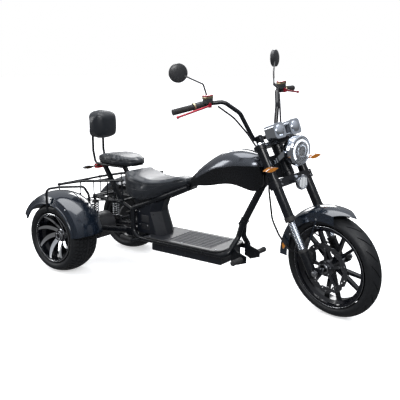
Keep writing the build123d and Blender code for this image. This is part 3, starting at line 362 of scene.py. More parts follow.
class Painter:
    """Builds and hands out the materials."""

    made: Dict[str, bpy.types.Material] = {}

    @staticmethod
    def _use(tree: bpy.types.NodeTree, group: bpy.types.NodeTree, **values: object) -> bpy.types.Node:
        """Adds a group node and sets its sockets."""
        node = tree.nodes.new("ShaderNodeGroup")
        node.node_tree = group
        for label, value in values.items():
            node.inputs[label].default_value = value
        return node

    @classmethod
    def material(cls, look: Look) -> bpy.types.Material:
        """The material of a finish, made on first use."""
        finish = look.value
        if finish.name not in cls.made:
            cls.made[finish.name] = cls._build(finish, finish.name)
        return cls.made[finish.name]

    @classmethod
    def _build(cls, finish: Finish, name: str) -> bpy.types.Material:
        """Wires colour, roughness, wear, dust and relief into a Principled surface."""
        material = bpy.data.materials.new(name)
        material.use_nodes = True
        tree = material.node_tree
        link = tree.links.new
        surface = tree.nodes["Principled BSDF"]
        set_value = surface.inputs
        set_value["Metallic"].default_value = finish.metal
        set_value["Coat Weight"].default_value = finish.coat
        set_value["Coat Roughness"].default_value = 0.06
        set_value["Sheen Weight"].default_value = finish.sheen
        set_value["Specular IOR Level"].default_value = finish.spec
        set_value["Transmission Weight"].default_value = finish.clear
        colour = cls._use(tree, Effects.mottle(), Color=(*finish.base, 1), Scale=14.0, Amount=finish.mottle)
        shade = colour.outputs["Color"]
        if finish.wear:
            rubbed = cls._use(tree, Effects.wear(), Amount=finish.wear)
            pale = tuple(min(1.0, c * 1.8 + 0.012) for c in finish.base)
            shade = cls._blend(tree, rubbed.outputs["Mask"], shade, pale)
        if finish.dust:
            dusty = cls._use(tree, Effects.dust(), Amount=finish.dust)
            shade = cls._blend(tree, dusty.outputs["Mask"], shade, (0.42, 0.41, 0.39))
        link(shade, set_value["Base Color"])
        marks = cls._use(tree, Effects.smudge(), Base=finish.rough, Spread=min(0.22, finish.rough * 0.5),
                         Scale=28.0)
        link(marks.outputs["Value"], set_value["Roughness"])
        if finish.glow:
            link(shade, set_value["Emission Color"])
            set_value["Emission Strength"].default_value = finish.glow
        if finish.relief is not Relief.SMOOTH:
            relief = cls._use(tree, Effects.relief(finish.relief), Scale=finish.scale, Depth=finish.depth)
            link(relief.outputs["Normal"], set_value["Normal"])
        return material

    @staticmethod
    def _blend(tree: bpy.types.NodeTree, mask: bpy.types.NodeSocket, under: bpy.types.NodeSocket,
               over: Point) -> bpy.types.NodeSocket:
        """Lays one plain colour over another by a mask."""
        mix = tree.nodes.new("ShaderNodeMix")
        mix.data_type = "RGBA"
        tree.links.new(mask, mix.inputs["Factor"])
        tree.links.new(under, mix.inputs["A"])
        mix.inputs["B"].default_value = (*over, 1)
        return mix.outputs["Result"]

    @classmethod
    def blade_material(cls, side: str, centre: Point) -> bpy.types.Material:
        """Black rim whose blade faces are polished bare metal.

        Args:
            side: Name of the wheel's side.
            centre: Middle of the wheel.
        """
        name = "rim_blades_" + side
        material = cls._build(Look.RIM.value, name)
        tree = material.node_tree
        surface = tree.nodes["Principled BSDF"]
        slope = (BLADE_TIP[1] - BLADE_ROOT[1]) / (BLADE_TIP[0] - BLADE_ROOT[0])
        face = cls._use(tree, Effects.cone_face(), Centre=centre, Root=BLADE_ROOT[1], Slope=slope,
                        Tip=0.149)
        under = surface.inputs["Base Color"].links[0].from_socket
        bare = Look.POLISHED.value
        shade = cls._blend(tree, face.outputs["Mask"], under, bare.base)
        tree.links.new(shade, surface.inputs["Base Color"])
        tree.links.new(face.outputs["Mask"], surface.inputs["Metallic"])
        return material


def dress(node: str, look: Look) -> None:
    """Gives a carried-over CAD node its finish."""
    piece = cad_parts[node]
    if not piece.material_slots:
        piece.data.materials.append(None)
    for slot in piece.material_slots:
        slot.link = "OBJECT"
        slot.material = Painter.material(look)


# ------------------------------------------------------------------ mesh work
def add_piece(name: str, bm: bmesh.types.BMesh, body: str, look: Look,
              sharp: float = 35.0) -> bpy.types.Object:
    """Turns a bmesh into a finished piece that rides on a body.

    Args:
        name: Name of the piece.
        bm: Its geometry, in the vehicle's frame; it is freed.
        body: CAD body it rides on.
        look: Its finish.
        sharp: Edges steeper than this many degrees stay crisp.

    Returns:
        The new object.
    """
    mesh = bpy.data.meshes.new(name)
    bmesh.ops.recalc_face_normals(bm, faces=bm.faces)
    bm.to_mesh(mesh)
    bm.free()
    mesh.materials.append(Painter.material(look))
    mesh.polygons.foreach_set("use_smooth", [True] * len(mesh.polygons))
    mesh.set_sharp_from_angle(angle=math.radians(sharp))
    piece = bpy.data.objects.new(name, mesh)
    bpy.context.scene.collection.objects.link(piece)
    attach(piece, body)
    log.info("%s: %d faces on %s", name, len(mesh.polygons), body)
    return piece


def lathe(bm: bmesh.types.BMesh, profile: Sequence[Row], place: Matrix, steps: int = 48) -> None:
    """Adds a turned form.

    Args:
        bm: Geometry to add to.
        profile: (radius, height) points; a radius of zero closes an end.
        place: Frame whose Z is the turning axis.
        steps: Segments round the axis.
    """
    rings: List[List[bmesh.types.BMVert]] = []
    for radius, height in profile:
        if radius < 1e-6:
            rings.append([bm.verts.new(place @ Vector((0, 0, height)))])
        else:
            rings.append([bm.verts.new(place @ Vector((radius * math.cos(a), radius * math.sin(a), height)))
                          for a in (2 * math.pi * i / steps for i in range(steps))])
    for low, high in zip(rings, rings[1:]):
        for i in range(steps):
            j = (i + 1) % steps
            corners = [low[i % len(low)], low[j % len(low)], high[j % len(high)], high[i % len(high)]]
            unique = list(dict.fromkeys(corners))
            if len(unique) > 2:
                bm.faces.new(unique)


def tube(bm: bmesh.types.BMesh, path: Sequence[Vector], radius: Union[float, Callable[[float], float]],
         steps: int = 12, closed: bool = False) -> None:
    """Sweeps a round section along a path.

    Args:
        bm: Geometry to add to.
        path: Points of the centre line.
        radius: One radius, or the radius for a share of the length from 0 to 1.
        steps: Segments round the section.
        closed: Whether the path is a loop.
    """
    count = len(path)
    up = Vector((0, 0, 1))
    rings = []
    for i, point in enumerate(path):
        before = path[i - 1] if i or closed else path[0]
        after = path[(i + 1) % count] if i < count - 1 or closed else path[-1]
        run = (after - before).normalized()
        side = run.cross(up)
        if side.length < 0.05:
            side = run.cross(Vector((1, 0, 0)))
        side.normalize()
        top = side.cross(run)
        size = radius(i / max(1, count - 1)) if callable(radius) else radius
        rings.append([bm.verts.new(point + side * size * math.cos(a) + top * size * math.sin(a))
                      for a in (2 * math.pi * k / steps for k in range(steps))])
    pairs = list(zip(rings, rings[1:])) + ([(rings[-1], rings[0])] if closed else [])
    for one, two in pairs:
        for k in range(steps):
            bm.faces.new([one[k], one[(k + 1) % steps], two[(k + 1) % steps], two[k]])
    if not closed:
        bm.faces.new(rings[0])
        bm.faces.new(list(reversed(rings[-1])))


def block(bm: bmesh.types.BMesh, size: Point, place: Matrix, edge: float, segments: int = 3) -> None:
    """Adds a box with rounded edges."""
    made = bmesh.ops.create_cube(bm, size=1.0)
    corners = made["verts"]
    for v in corners:
        v.co = Vector(c * s for c, s in zip(v.co, size))
    edges = list({e for v in corners for e in v.link_edges})
    rounded = bmesh.ops.bevel(bm, geom=edges, offset=edge, segments=segments, profile=0.5, affect="EDGES")
    verts = {v for f in rounded["faces"] for v in f.verts} | {v for v in corners if v.is_valid}
    bmesh.ops.transform(bm, matrix=place, verts=list(verts))


def shift(x: float, y: float, z: float) -> Matrix:
    """A move along the three axes."""
    return Matrix.Translation(Vector((x, y, z)))


def spin(degrees: float, axis: str) -> Matrix:
    """A turn about one axis."""
    return Matrix.Rotation(math.radians(degrees), 4, axis)


def around(angle: float, radius: float, y: float) -> Vector:
    """A point at an angle round the Y axis."""
    return Vector((math.cos(angle) * radius, y, math.sin(angle) * radius))


def frame_at(origin: Sequence[float], axis: Sequence[float]) -> Matrix:
    """A frame at a point whose Z looks along an axis."""
    turn = Vector(axis).to_track_quat("Z", "Y").to_matrix().to_4x4()
    return Matrix.Translation(Vector(origin)) @ turn


def hex_bolt(bm: bmesh.types.BMesh, place: Matrix, radius: float, height: float) -> None:
    """Adds a washer and a hexagon head with a chamfered crown."""
    lathe(bm, [(0, 0), (radius * 1.35, 0), (radius * 1.35, height * 0.18), (radius * 0.9, height * 0.22)],
          place, 20)
    lathe(bm, [(radius, height * 0.2), (radius, height * 0.85), (radius * 0.82, height), (0, height)],
          place, 6)


def cap_bolt(bm: bmesh.types.BMesh, place: Matrix, radius: float, height: float) -> None:
    """Adds a round cap head with a six-sided socket."""
    lathe(bm, [(0, 0), (radius, 0), (radius, height * 0.82), (radius * 0.86, height),
               (radius * 0.55, height)],
          place, 20)
    lathe(bm, [(radius * 0.55, height), (radius * 0.5, height * 0.4), (0, height * 0.4)], place, 6)


def weld(bm: bmesh.types.BMesh, centre: Sequence[float], axis: Sequence[float], radius: float,
         bead: float = 0.0025) -> None:
    """Adds a rippled weld bead round a tube."""
    place = frame_at(centre, axis)
    steps = 40
    path = [place @ Vector((radius * math.cos(a), radius * math.sin(a), 0.0))
            for a in (2 * math.pi * i / steps for i in range(steps))]
    tube(bm, path, lambda t: bead * (1 + 0.22 * math.sin(t * steps * math.pi)), 8, closed=True)


# ------------------------------------------------------------------ frames of reference
@dataclass(frozen=True)
class Steering:
    """The raked steering axis and the angle at which the bars are parked."""

    foot: Point = (0.8244, 0.0, 0.2912)
    rake: float = math.radians(27.308)
    parked: float = math.radians(-14.0)
    lead: float = 0.043
    half: float = 0.123
    tyre_r: float = 0.293
    crown: float = 0.055

    @property
    def turn(self) -> Matrix:
        """Moves a straight-ahead point to where it is with the bars parked."""
        axis = Vector((-math.sin(self.rake), 0, math.cos(self.rake)))
        here = Vector(self.foot)
        return Matrix.Translation(here) @ Matrix.Rotation(self.parked, 4, axis) @ Matrix.Translation(-here)

    @property
    def fork(self) -> Matrix:
        """Frame whose Z runs up the fork and whose X looks ahead, bars parked."""
        c, s = math.cos(self.rake), math.sin(self.rake)
        basis = Matrix(((c, 0, -s), (0, 1, 0), (s, 0, c))).to_4x4()
        return self.turn @ Matrix.Translation(Vector(self.foot)) @ basis

    @property
    def axle(self) -> float:
        """Where the front axle crosses the fork, along it."""
        lean = math.sin(self.rake) * math.sin(self.parked)
        height = (self.tyre_r - self.crown) * math.sqrt(1 - lean * lean) + self.crown
        rise = self.lead * math.sin(self.rake) * math.cos(self.parked)
        return (height - rise - self.foot[2]) / math.cos(self.rake)

    @property
    def wheel(self) -> Matrix:
        """Frame at the front axle whose Y is the spin axis, bars parked."""
        c, s = math.cos(self.rake), math.sin(self.rake)
        at = Vector(self.foot) + Vector((c, 0, s)) * self.lead + Vector((-s, 0, c)) * self.axle
        return self.turn @ Matrix.Translation(at)

    def parked_point(self, x: float, y: float, z: float) -> Vector:
        """A straight-ahead point of the steering group, with the bars parked."""
        return self.turn @ Vector((x, y, z))


STEER = Steering()


# ------------------------------------------------------------------ tyres
@dataclass(frozen=True)
class Tread:
    """Pattern cut into a tyre's crown.

    Args:
        pitches: Repeats round the tyre.
        cuts: Shares of a pitch and whether the cross groove is open there.
        rings: Bands of the half crown, 0 to 1, that carry a round groove.
        cross: Band of the half crown that the cross grooves span.
        skew: How far a groove leans, in pitches, from the middle to the edge.
        depth: Groove depth in metres.
    """

    pitches: int
    cuts: Tuple[Tuple[float, bool], ...]
    rings: Tuple[Row, ...]
    cross: Row
    skew: float
    depth: float


@dataclass
class Tyre:
    """One tyre: sidewalls with moulded ribs under a grooved crown."""

    name: str
    body: str
    node: str
    place: Matrix
    radius: float
    width: float
    bead: float
    rim_half: float
    crown_r: float
    tread: Tread

    def _arc(self, a: Row, b: Row, c: Row, shares: Sequence[float]) -> List[Row]:
        """Points on the circle through three (radius, y) points."""
        ax, ay, bx, by, cx, cy = *a, *b, *c
        d = 2 * (ax * (by - cy) + bx * (cy - ay) + cx * (ay - by))
        aa, bb, cc = ax * ax + ay * ay, bx * bx + by * by, cx * cx + cy * cy
        ux = (aa * (by - cy) + bb * (cy - ay) + cc * (ay - by)) / d
        uy = (aa * (cx - bx) + bb * (ax - cx) + cc * (bx - ax)) / d
        r = math.hypot(ax - ux, ay - uy)
        t0, t1, t2 = (math.atan2(p[1] - uy, p[0] - ux) for p in (a, b, c))
        while t1 < t0:
            t1 += 2 * math.pi
        while t2 < t1:
            t2 += 2 * math.pi
        if t2 - t0 > 2 * math.pi:
            t1, t2 = t1 - 2 * math.pi, t2 - 4 * math.pi
        return [(ux + r * math.cos(t0 + (t2 - t0) * s),
                 uy + r * math.sin(t0 + (t2 - t0) * s)) for s in shares]

    def _crown_shares(self) -> List[float]:
        """Positions across the half crown, closer at the edges of grooves."""
        marks = {0.0, 1.0, 0.12, 0.3, 0.45, 0.62, 0.78, 0.9}
        for low, high in (*self.tread.rings, self.tread.cross):
            marks |= {max(0.0, low - 0.012), min(1.0, low + 0.012), max(0.0, high - 0.012),
                      min(1.0, high + 0.012)}
        half = sorted(m for m in marks if 0 <= m <= 1)
        return sorted({*(-m for m in half), *half})

    def _open(self, share: float, across: bool) -> bool:
        """Whether a groove is open at a place on the crown."""
        side = abs(share)
        if any(low < side < high for low, high in self.tread.rings):
            return True
        return across and self.tread.cross[0] < side < self.tread.cross[1]

    def build(self) -> bpy.types.Object:
        """Makes the tyre and hides the plain one."""
        half = self.width / 2
        seat = self.bead + 0.0165
        edge_y = self.rim_half - 0.007
        belly = self.bead + (self.radius - self.bead) * 0.45
        shoulder = (self.radius - (half - self.crown_r) * 0.12 - self.crown_r * 0.35,
                    half - self.crown_r * 0.3)
        shares = self._crown_shares()
        crown = self._arc((shoulder[0], -shoulder[1]), (self.radius, 0), shoulder,
                          [(s + 1) / 2 for s in shares])
        wall = [i / 13 for i in range(13)]
        side = self._arc((seat, -edge_y), (belly, -half), (shoulder[0], -shoulder[1]), wall)
        if max(abs(p[1]) for p in side) > half + 0.001:
            side = [(seat + (shoulder[0] - seat) * t,
                     -edge_y - (half - edge_y) * math.sin(math.pi * min(1, t * 1.1)))
                    for t in wall]
        rows: List[Tuple[float, float, float]] = []
        for i, (r, y) in enumerate(side):
            rib = 0.0011 if i in (3, 4, 8) else 0.0
            rows.append((r, y + (rib if y > 0 else -rib) * 0.6, 2.0))
        rows += [(r, y, s) for (r, y), s in zip(crown, shares)]
        rows += [(r, -y, 2.0) for r, y, _ in reversed(rows[:len(side)])]
        bm = bmesh.new()
        columns: List[List[bmesh.types.BMVert]] = []
        tread = self.tread
        for pitch in range(tread.pitches):
            for cut, is_open in tread.cuts:
                line = []
                for r, y, share in rows:
                    lean = tread.skew * min(1.0, abs(share)) if abs(share) <= 1 else tread.skew
                    angle = 2 * math.pi * (pitch + cut + lean) / tread.pitches
                    sunk = tread.depth if abs(share) <= 1 and self._open(share, is_open) else 0.0
                    r0 = r - sunk
                    line.append(bm.verts.new(self.place @ Vector((r0 * math.cos(angle), y,
                                                                  r0 * math.sin(angle)))))
                columns.append(line)
        for one, two in zip(columns, columns[1:] + columns[:1]):
            for k in range(len(rows) - 1):
                bm.faces.new([one[k], two[k], two[k + 1], one[k + 1]])
        piece = add_piece(self.name, bm, self.body, Look.TYRE, 28)
        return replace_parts(piece, self.node)


# ------------------------------------------------------------------ wheels
@dataclass
class RearWheel:
    """Wide deep-dish wheel with blades, lip bolts and a hub cap."""

    side: str
    sign: int
    axle: Point = REAR_AXLE
    lip_r: float = 0.1585
    rim_half: float = 0.096
    bolts: int = 8
    tread: Tread = Tread(52, ((0.0, False), (0.06, True), (0.24, True), (0.3, False), (0.65, False)),
                         ((0.1, 0.15), (0.38, 0.43), (0.66, 0.71)), (0.15, 0.97), 0.9, 0.0055)

    @property
    def place(self) -> Matrix:
        """Frame at the wheel's centre."""
        return shift(self.axle[0], self.sign * self.axle[1], self.axle[2])

    def build(self) -> None:
        """Tyre, rim finish, bolts, valve and hub cap."""
        body = "rear_wheel_" + self.side
        Tyre("tread_" + self.side, body, "rear_tyre_" + self.side, self.place, 0.238, 0.215, 0.1524,
             self.rim_half,
             0.044, self.tread).build()
        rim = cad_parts["rear_rim_" + self.side]
        dress("rear_rim_" + self.side, Look.RIM)
        centre = (self.axle[0], self.sign * self.axle[1], self.axle[2])
        for slot in rim.material_slots:
            slot.material = Painter.blade_material(self.side, centre)
        out = Vector((0, self.sign, 0))
        bm = bmesh.new()
        for i in range(self.bolts):
            a = 2 * math.pi * (i + 0.45) / self.bolts
            at = Vector(centre) + around(a, 0.1475, 0) + out * 0.0915
            cap_bolt(bm, frame_at(at, out), 0.0042, 0.004)
        for i in range(5):
            a = 2 * math.pi * i / 5
            at = Vector(centre) + around(a, 0.022, 0) + out * 0.048
            cap_bolt(bm, frame_at(at, out), 0.0034, 0.0035)
        add_piece("rim_bolts_" + self.side, bm, body, Look.STEEL)
        bm = bmesh.new()
        for radius, y in ((self.lip_r, 0.0962), (0.1522, 0.0945)):
            path = [Vector(centre) + around(a, radius, self.sign * y)
                    for a in (2 * math.pi * i / 96 for i in range(96))]
            tube(bm, path, 0.0016, 8, closed=True)
        add_piece("rim_lips_" + self.side, bm, body, Look.POLISHED)
        bm = bmesh.new()
        lathe(bm, [(0.031, 0.022), (0.0318, 0.027), (0.0318, 0.045), (0.029, 0.0478), (0.016, 0.0482),
                   (0.0145, 0.0465), (0.0112, 0.0465)], frame_at(centre, out), 48)
        add_piece("hub_ring_" + self.side, bm, body, Look.POLISHED)
        bm = bmesh.new()
        root = Vector(centre) + Vector((0.0, 0, -0.146)) + out * 0.06
        tip = Vector(centre) + Vector((0.0, 0, -0.124)) + out * 0.078
        tube(bm, [root, root.lerp(tip, 0.5), root.lerp(tip, 0.52), tip],
             lambda t: 0.0038 if t < 0.5 else 0.0026, 12)
        add_piece("valve_" + self.side, bm, body, Look.CABLE)


@dataclass
class FrontWheel:
    """Large cast wheel with a waved brake disc."""

    place: Matrix
    tread: Tread = Tread(22, ((0.0, False), (0.03, True), (0.11, True), (0.14, False), (0.4, False),
                              (0.7, False)),
                         (), (0.04, 0.9), 1.0, 0.005)

    def build(self) -> None:
        """Tyre, rim lines, hub bolts, disc fixings and hub rings."""
        Tyre("tread_front", "front_wheel", "front_tyre", self.place, 0.293, 0.110, 0.2159, 0.046, 0.048,
             self.tread).build()
        dress("front_rim", Look.RIM)
        dress("front_disc", Look.DARK_STEEL)
        bm = bmesh.new()
        for y in (-0.0463, 0.0463):
            path = [self.place @ around(a, 0.2265, y)
                    for a in (2 * math.pi * i / 120 for i in range(120))]
            tube(bm, path, 0.0014, 8, closed=True)
        add_piece("front_rim_lips", bm, "front_wheel", Look.STEEL)
        right = self.place.to_3x3() @ Vector((0, -1, 0))
        bm = bmesh.new()
        for i in range(5):
            a = math.radians(18 + 72 * i)
            at = self.place @ around(a, 0.036, -0.0646)
            cap_bolt(bm, frame_at(at, right), 0.005, 0.004)
            for r in (0.098, 0.112):
                at = self.place @ around(a, r, -0.0646)
                lathe(bm, [(0, 0), (0.0045, 0), (0.0045, 0.0014), (0.0028, 0.002), (0, 0.002)],
                      frame_at(at, right), 16)
        add_piece("disc_bolts", bm, "front_wheel", Look.STEEL)
        bm = bmesh.new()
        lathe(bm, [(0.0175, 0.064), (0.026, 0.066), (0.0265, 0.074), (0.024, 0.0765), (0.0175, 0.0765)],
              self.place @ spin(90, "X"), 40)
        lathe(bm, [(0.0175, 0.04), (0.0355, 0.0405), (0.0365, 0.047), (0.033, 0.0505), (0.0175, 0.0505)],
              self.place @ spin(-90, "X"), 40)
        add_piece("front_hub_rings", bm, "front_wheel", Look.STEEL)


# ------------------------------------------------------------------ steering group
@dataclass
class Fork:
    """Fork tubes, clamps, axle ends and the bar."""

    steer: Steering
    clamps: Tuple[Row, ...] = ((0.466, 0.510), (0.694, 0.716))

    def build(self) -> None:
        """Dresses the carried-over tubes and adds ribs, seals, bolts and caps."""
        for node, look in (("fork_tubes", Look.FORK), ("fork_crown", Look.FRAME),
                           ("fork_sliders", Look.CHROME),
                           ("fork_feet", Look.FRAME), ("front_axle", Look.STEEL), ("handlebar", Look.FORK)):
            dress(node, look)
        self._ribbed_sleeves()
        self._seals()
        self._bolts()

    def _at(self, ahead: float, y: float, along: float) -> Matrix:
        """Frame at a point of the fork."""
        return self.steer.fork @ shift(ahead, y, along)

    def _ribbed_sleeves(self) -> None:
        """Bright ribbed sleeves over the lower tubes."""
        bm = bmesh.new()
        low, high, pitch = 0.116, 0.276, 0.0082
        profile: List[Row] = [(0.0155, low)]
        count = int((high - low) / pitch)
        for i in range(count):
            z = low + i * pitch
            profile += [(0.0205, z + 0.001), (0.0222, z + 0.0026), (0.0222, z + 0.0048),
                        (0.0205, z + 0.0064),
                        (0.0188, z + 0.0074)]
        profile.append((0.0155, high))
        for side in SIDES:
            lathe(bm, profile, self._at(0, side * self.steer.half, 0), 40)
        add_piece("fork_sleeves", bm, "steering", Look.CHROME, 50)

    def _seals(self) -> None:
        """Dust seals, reflective collars and top caps."""
        bm = bmesh.new()
        for side in SIDES:
            place = self._at(0, side * self.steer.half, 0)
            lathe(bm, [(0.0275, 0.304), (0.0298, 0.3025), (0.0302, 0.29), (0.0298, 0.2775), (0.024, 0.2755),
                       (0.0155, 0.2755)], place, 48)
            lathe(bm, [(0.0252, 0.098), (0.0272, 0.1), (0.0272, 0.1115), (0.025, 0.1145), (0.0155, 0.1145)],
                  place, 48)
        add_piece("fork_seals", bm, "steering", Look.GRIP)
        bm = bmesh.new()
        for side in SIDES:
            place = self._at(0, side * self.steer.half, 0.7165)
            lathe(bm, [(0.026, 0), (0.026, 0.004), (0.0235, 0.0068), (0.0185, 0.0072)], place, 48)
            hex_bolt(bm, self._at(0, side * self.steer.half, 0.7225), 0.0115, 0.008)
        hex_bolt(bm, self._at(0, 0, 0.7275), 0.0145, 0.01)
        lathe(bm, [(0.0182, 0.716), (0.0225, 0.7165), (0.0225, 0.7215), (0.0182, 0.722)], self._at(0, 0, 0),
              40)
        add_piece("fork_caps", bm, "steering", Look.CHROME)

    def _bolts(self) -> None:
        """Pinch bolts on the clamps, the feet and the bar blocks."""
        bm = bmesh.new()
        steer = self.steer
        ahead = steer.fork.to_3x3() @ Vector((1, 0, 0))
        up = steer.fork.to_3x3() @ Vector((0, 0, 1))
        for side in SIDES:
            for low, high in self.clamps:
                for z in ((low + high) / 2 - 0.011,
                          (low + high) / 2 + 0.011) if high - low > 0.03 else ((low + high) / 2,):
                    at = self._at(0.0375, side * (steer.half - 0.006), z).translation
                    cap_bolt(bm, frame_at(at, ahead), 0.0055, 0.0055)
            for dx in (0.012, -0.012):
                at = self._at(-0.05 + dx, side * 0.06, 0.7782).translation
                cap_bolt(bm, frame_at(at, up), 0.0045, 0.005)
            for dz in (-0.012, 0.012):
                at = self._at(0.0655, side * steer.half, steer.axle + dz).translation
                cap_bolt(bm, frame_at(at, ahead), 0.0042, 0.0045)
            out = steer.wheel.to_3x3() @ Vector((0, side, 0))
            at = steer.wheel @ Vector((0, side * 0.1588, 0))
            hex_bolt(bm, frame_at(at, out), 0.011, 0.006)
        add_piece("fork_bolts", bm, "steering", Look.STEEL)


@dataclass
class Lamps:
    """Headlamp, lower lamp, instrument pods and turn signals."""

    steer: Steering
    head: Point = (0.670, 0.0, 0.894)
    head_r: float = 0.080
    horn: Point = (0.684, 0.0, 0.722)
    horn_r: float = 0.040

    def _ahead(self, at: Point) -> Matrix:
        """Frame at a lamp whose Z looks straight ahead of the bars."""
        return self.steer.turn @ Matrix.Translation(Vector(at)) @ spin(90, "Y")

    def build(self) -> None:
        """Every lamp of the steering group."""
        for node in ("headlamp", "horn_lamp", "instrument_pods"):
            dress(node, Look.CHROME)
        dress("front_signals", Look.AMBER)
        self._headlamp()
        self._horn()
        self._pods()
        self._signals()

    def _headlamp(self) -> None:
        """Bezel, dark dish, light ring, projector and domed glass."""
        place, r = self._ahead(self.head), self.head_r
        bm = bmesh.new()
        lathe(bm, [(r - 0.001, -0.02), (r + 0.0022, -0.019), (r + 0.0032, -0.012), (r + 0.0022, 0.0015),
                   (r - 0.003, 0.0075),
                   (r - 0.0085, 0.0085), (r - 0.0105, 0.006), (r - 0.0115, 0.0005)], place, 96)
        add_piece("headlamp_bezel", bm, "steering", Look.CHROME)
        bm = bmesh.new()
        lathe(bm, [(r - 0.0105, 0.0012), (r - 0.014, 0.001), (r - 0.022, 0.0012), (r - 0.0235, 0.0022),
                   (0.036, 0.0014), (0.034, 0.0006), (0, 0.0006)], place, 96)
        add_piece("headlamp_dish", bm, "steering", Look.DISH)
        bm = bmesh.new()
        path = [place @ Vector((math.cos(math.radians(a)) * 0.0555, math.sin(math.radians(a)) * 0.0555,
                                0.0048))
                for a in range(50, 311, 4)]
        tube(bm, path, 0.0052, 12)
        add_piece("headlamp_ring", bm, "steering", Look.LIGHT)
        bm = bmesh.new()
        lathe(bm, [(0.0335, 0.001), (0.0335, 0.009), (0.0315, 0.0105), (0.0285, 0.0102), (0.0275, 0.006)],
              place, 64)
        for a in (0.6, 2.7, 4.8):
            cap_bolt(bm, place @ shift(math.cos(a) * 0.0425, math.sin(a) * 0.0425, 0.0015),
                     0.0026, 0.0025)
        add_piece("projector_ring", bm, "steering", Look.CHROME)
        bm = bmesh.new()
        lathe(bm, [(0.0275, 0.0058), (0.0262, 0.0085), (0.022, 0.0115), (0.014, 0.0138), (0.006, 0.0147),
                   (0, 0.0148)],
              place, 48)
        add_piece("projector_lens", bm, "steering", Look.DIAL)
        bm = bmesh.new()
        rim = r - 0.0098
        rows = [(rim * math.sin(t), 0.006 + 0.013 * math.cos(t)) for t in
                (math.radians(90 - 9 * i) for i in range(11))]
        lathe(bm, [(max(0.0, a), b) for a, b in rows], place, 72)
        add_piece("headlamp_glass", bm, "steering", Look.GLASS)

    def _horn(self) -> None:
        """Chrome ring with dark upright bars behind it."""
        place, r = self._ahead(self.horn), self.horn_r
        bm = bmesh.new()
        lathe(bm, [(r - 0.001, -0.012), (r + 0.0016, -0.011), (r + 0.002, -0.002), (r, 0.003),
                   (r - 0.005, 0.0045),
                   (r - 0.008, 0.003), (r - 0.0085, 0.0004)], place, 64)
        bars = bmesh.new()
        for i in range(-2, 3):
            y = i * 0.0118
            reach = math.sqrt(max(0.0, (r - 0.0085) ** 2 - y * y))
            block(bars, (2 * reach, 0.0055, 0.003), place @ shift(0, y, 0.0019), 0.0006, 2)
        add_piece("horn_ring", bm, "steering", Look.CHROME)
        add_piece("horn_bars", bars, "steering", Look.TICK)
        bm = bmesh.new()
        lathe(bm, [(r - 0.008, 0.0006), (0, 0.0006)], place, 48)
        add_piece("horn_face", bm, "steering", Look.DISH)

    def _pods(self) -> None:
        """Dials on the pods' rear faces and a domed back on their fronts."""
        bezels, faces, glass, ticks = (bmesh.new() for _ in range(4))
        for side in SIDES:
            pod = self.steer.fork @ shift(0.084, side * 0.062, 0.752) @ spin(8, "Y")
            rear = pod @ shift(-0.036, 0, 0) @ spin(-90, "Y")
            lathe(bezels, [(0.030, 0.0), (0.0345, 0.0), (0.035, 0.003), (0.033, 0.0052), (0.0305, 0.005),
                           (0.0298, 0.001)],
                  rear, 64)
            lathe(faces, [(0.030, 0.0008), (0, 0.0008)], rear, 48)
            lathe(glass, [(0.0302, 0.0035), (0.02, 0.0046), (0, 0.005)], rear, 48)
            for k in range(13):
                a = math.radians(-120 + 20 * k)
                long = 0.005 if k % 3 == 0 else 0.003
                mark = rear @ Matrix.Rotation(a, 4, "Z") @ shift(0.0255 - long / 2, 0, 0.0012)
                block(ticks, (long, 0.0008, 0.0004), mark, 0.0001, 1)
            needle = rear @ spin(-110, "Z") @ shift(0.009, 0, 0.0016)
            block(ticks, (0.022, 0.0012, 0.0006), needle, 0.0002, 1)
            front = pod @ shift(0.036, 0, 0) @ spin(90, "Y")
            lathe(bezels, [(0.0305, -0.0006), (0.0298, 0.0022), (0.026, 0.005), (0.019, 0.0075),
                           (0.01, 0.009), (0, 0.0094)],
                  front, 56)
        add_piece("pod_bezels", bezels, "steering", Look.CHROME)
        add_piece("dial_faces", faces, "steering", Look.DIAL)
        add_piece("dial_marks", ticks, "steering", Look.TICK)
        add_piece("dial_glass", glass, "steering", Look.GLASS)

    def _signals(self) -> None:
        """Chrome frames and fluted lenses of the front turn signals."""
        rims, flutes = bmesh.new(), bmesh.new()
        for side in SIDES:
            at = (0.618, side * 0.178, 0.823)
            leaf_rim(rims, self.steer.turn @ Matrix.Translation(Vector(at)), 0.047, 0.011, 0.0105)
            leaf_flutes(flutes, self.steer.turn @ Matrix.Translation(Vector(at)), 0.047, 0.011, 0.0122)
        add_piece("signal_rims", rims, "steering", Look.CHROME)
        add_piece("signal_flutes", flutes, "steering", Look.AMBER)


def leaf_rim(bm: bmesh.types.BMesh, place: Matrix, half_y: float, half_z: float, x: float) -> None:
    """Adds a thin frame round a leaf-shaped lens that looks along X."""
    path = []
    for i in range(56):
        a = 2 * math.pi * i / 56
        y = half_y * math.cos(a)
        z = half_z * math.copysign(1 - (y / half_y) ** 2, math.sin(a))
        path.append(place @ Vector((x, y, z)))
    tube(bm, path, 0.0015, 8, closed=True)


def leaf_flutes(bm: bmesh.types.BMesh, place: Matrix, half_y: float, half_z: float, x: float) -> None:
    """Adds upright flutes across a leaf-shaped lens."""
    for i in range(-6, 7):
        y = i * half_y / 7.5
        z = half_z * (1 - (y / half_y) ** 2) - 0.0015
        if z > 0.001:
            tube(bm, [place @ Vector((x, y, -z)), place @ Vector((x + 0.0006, y, 0)),
                      place @ Vector((x, y, z))],
                 0.0014, 8)


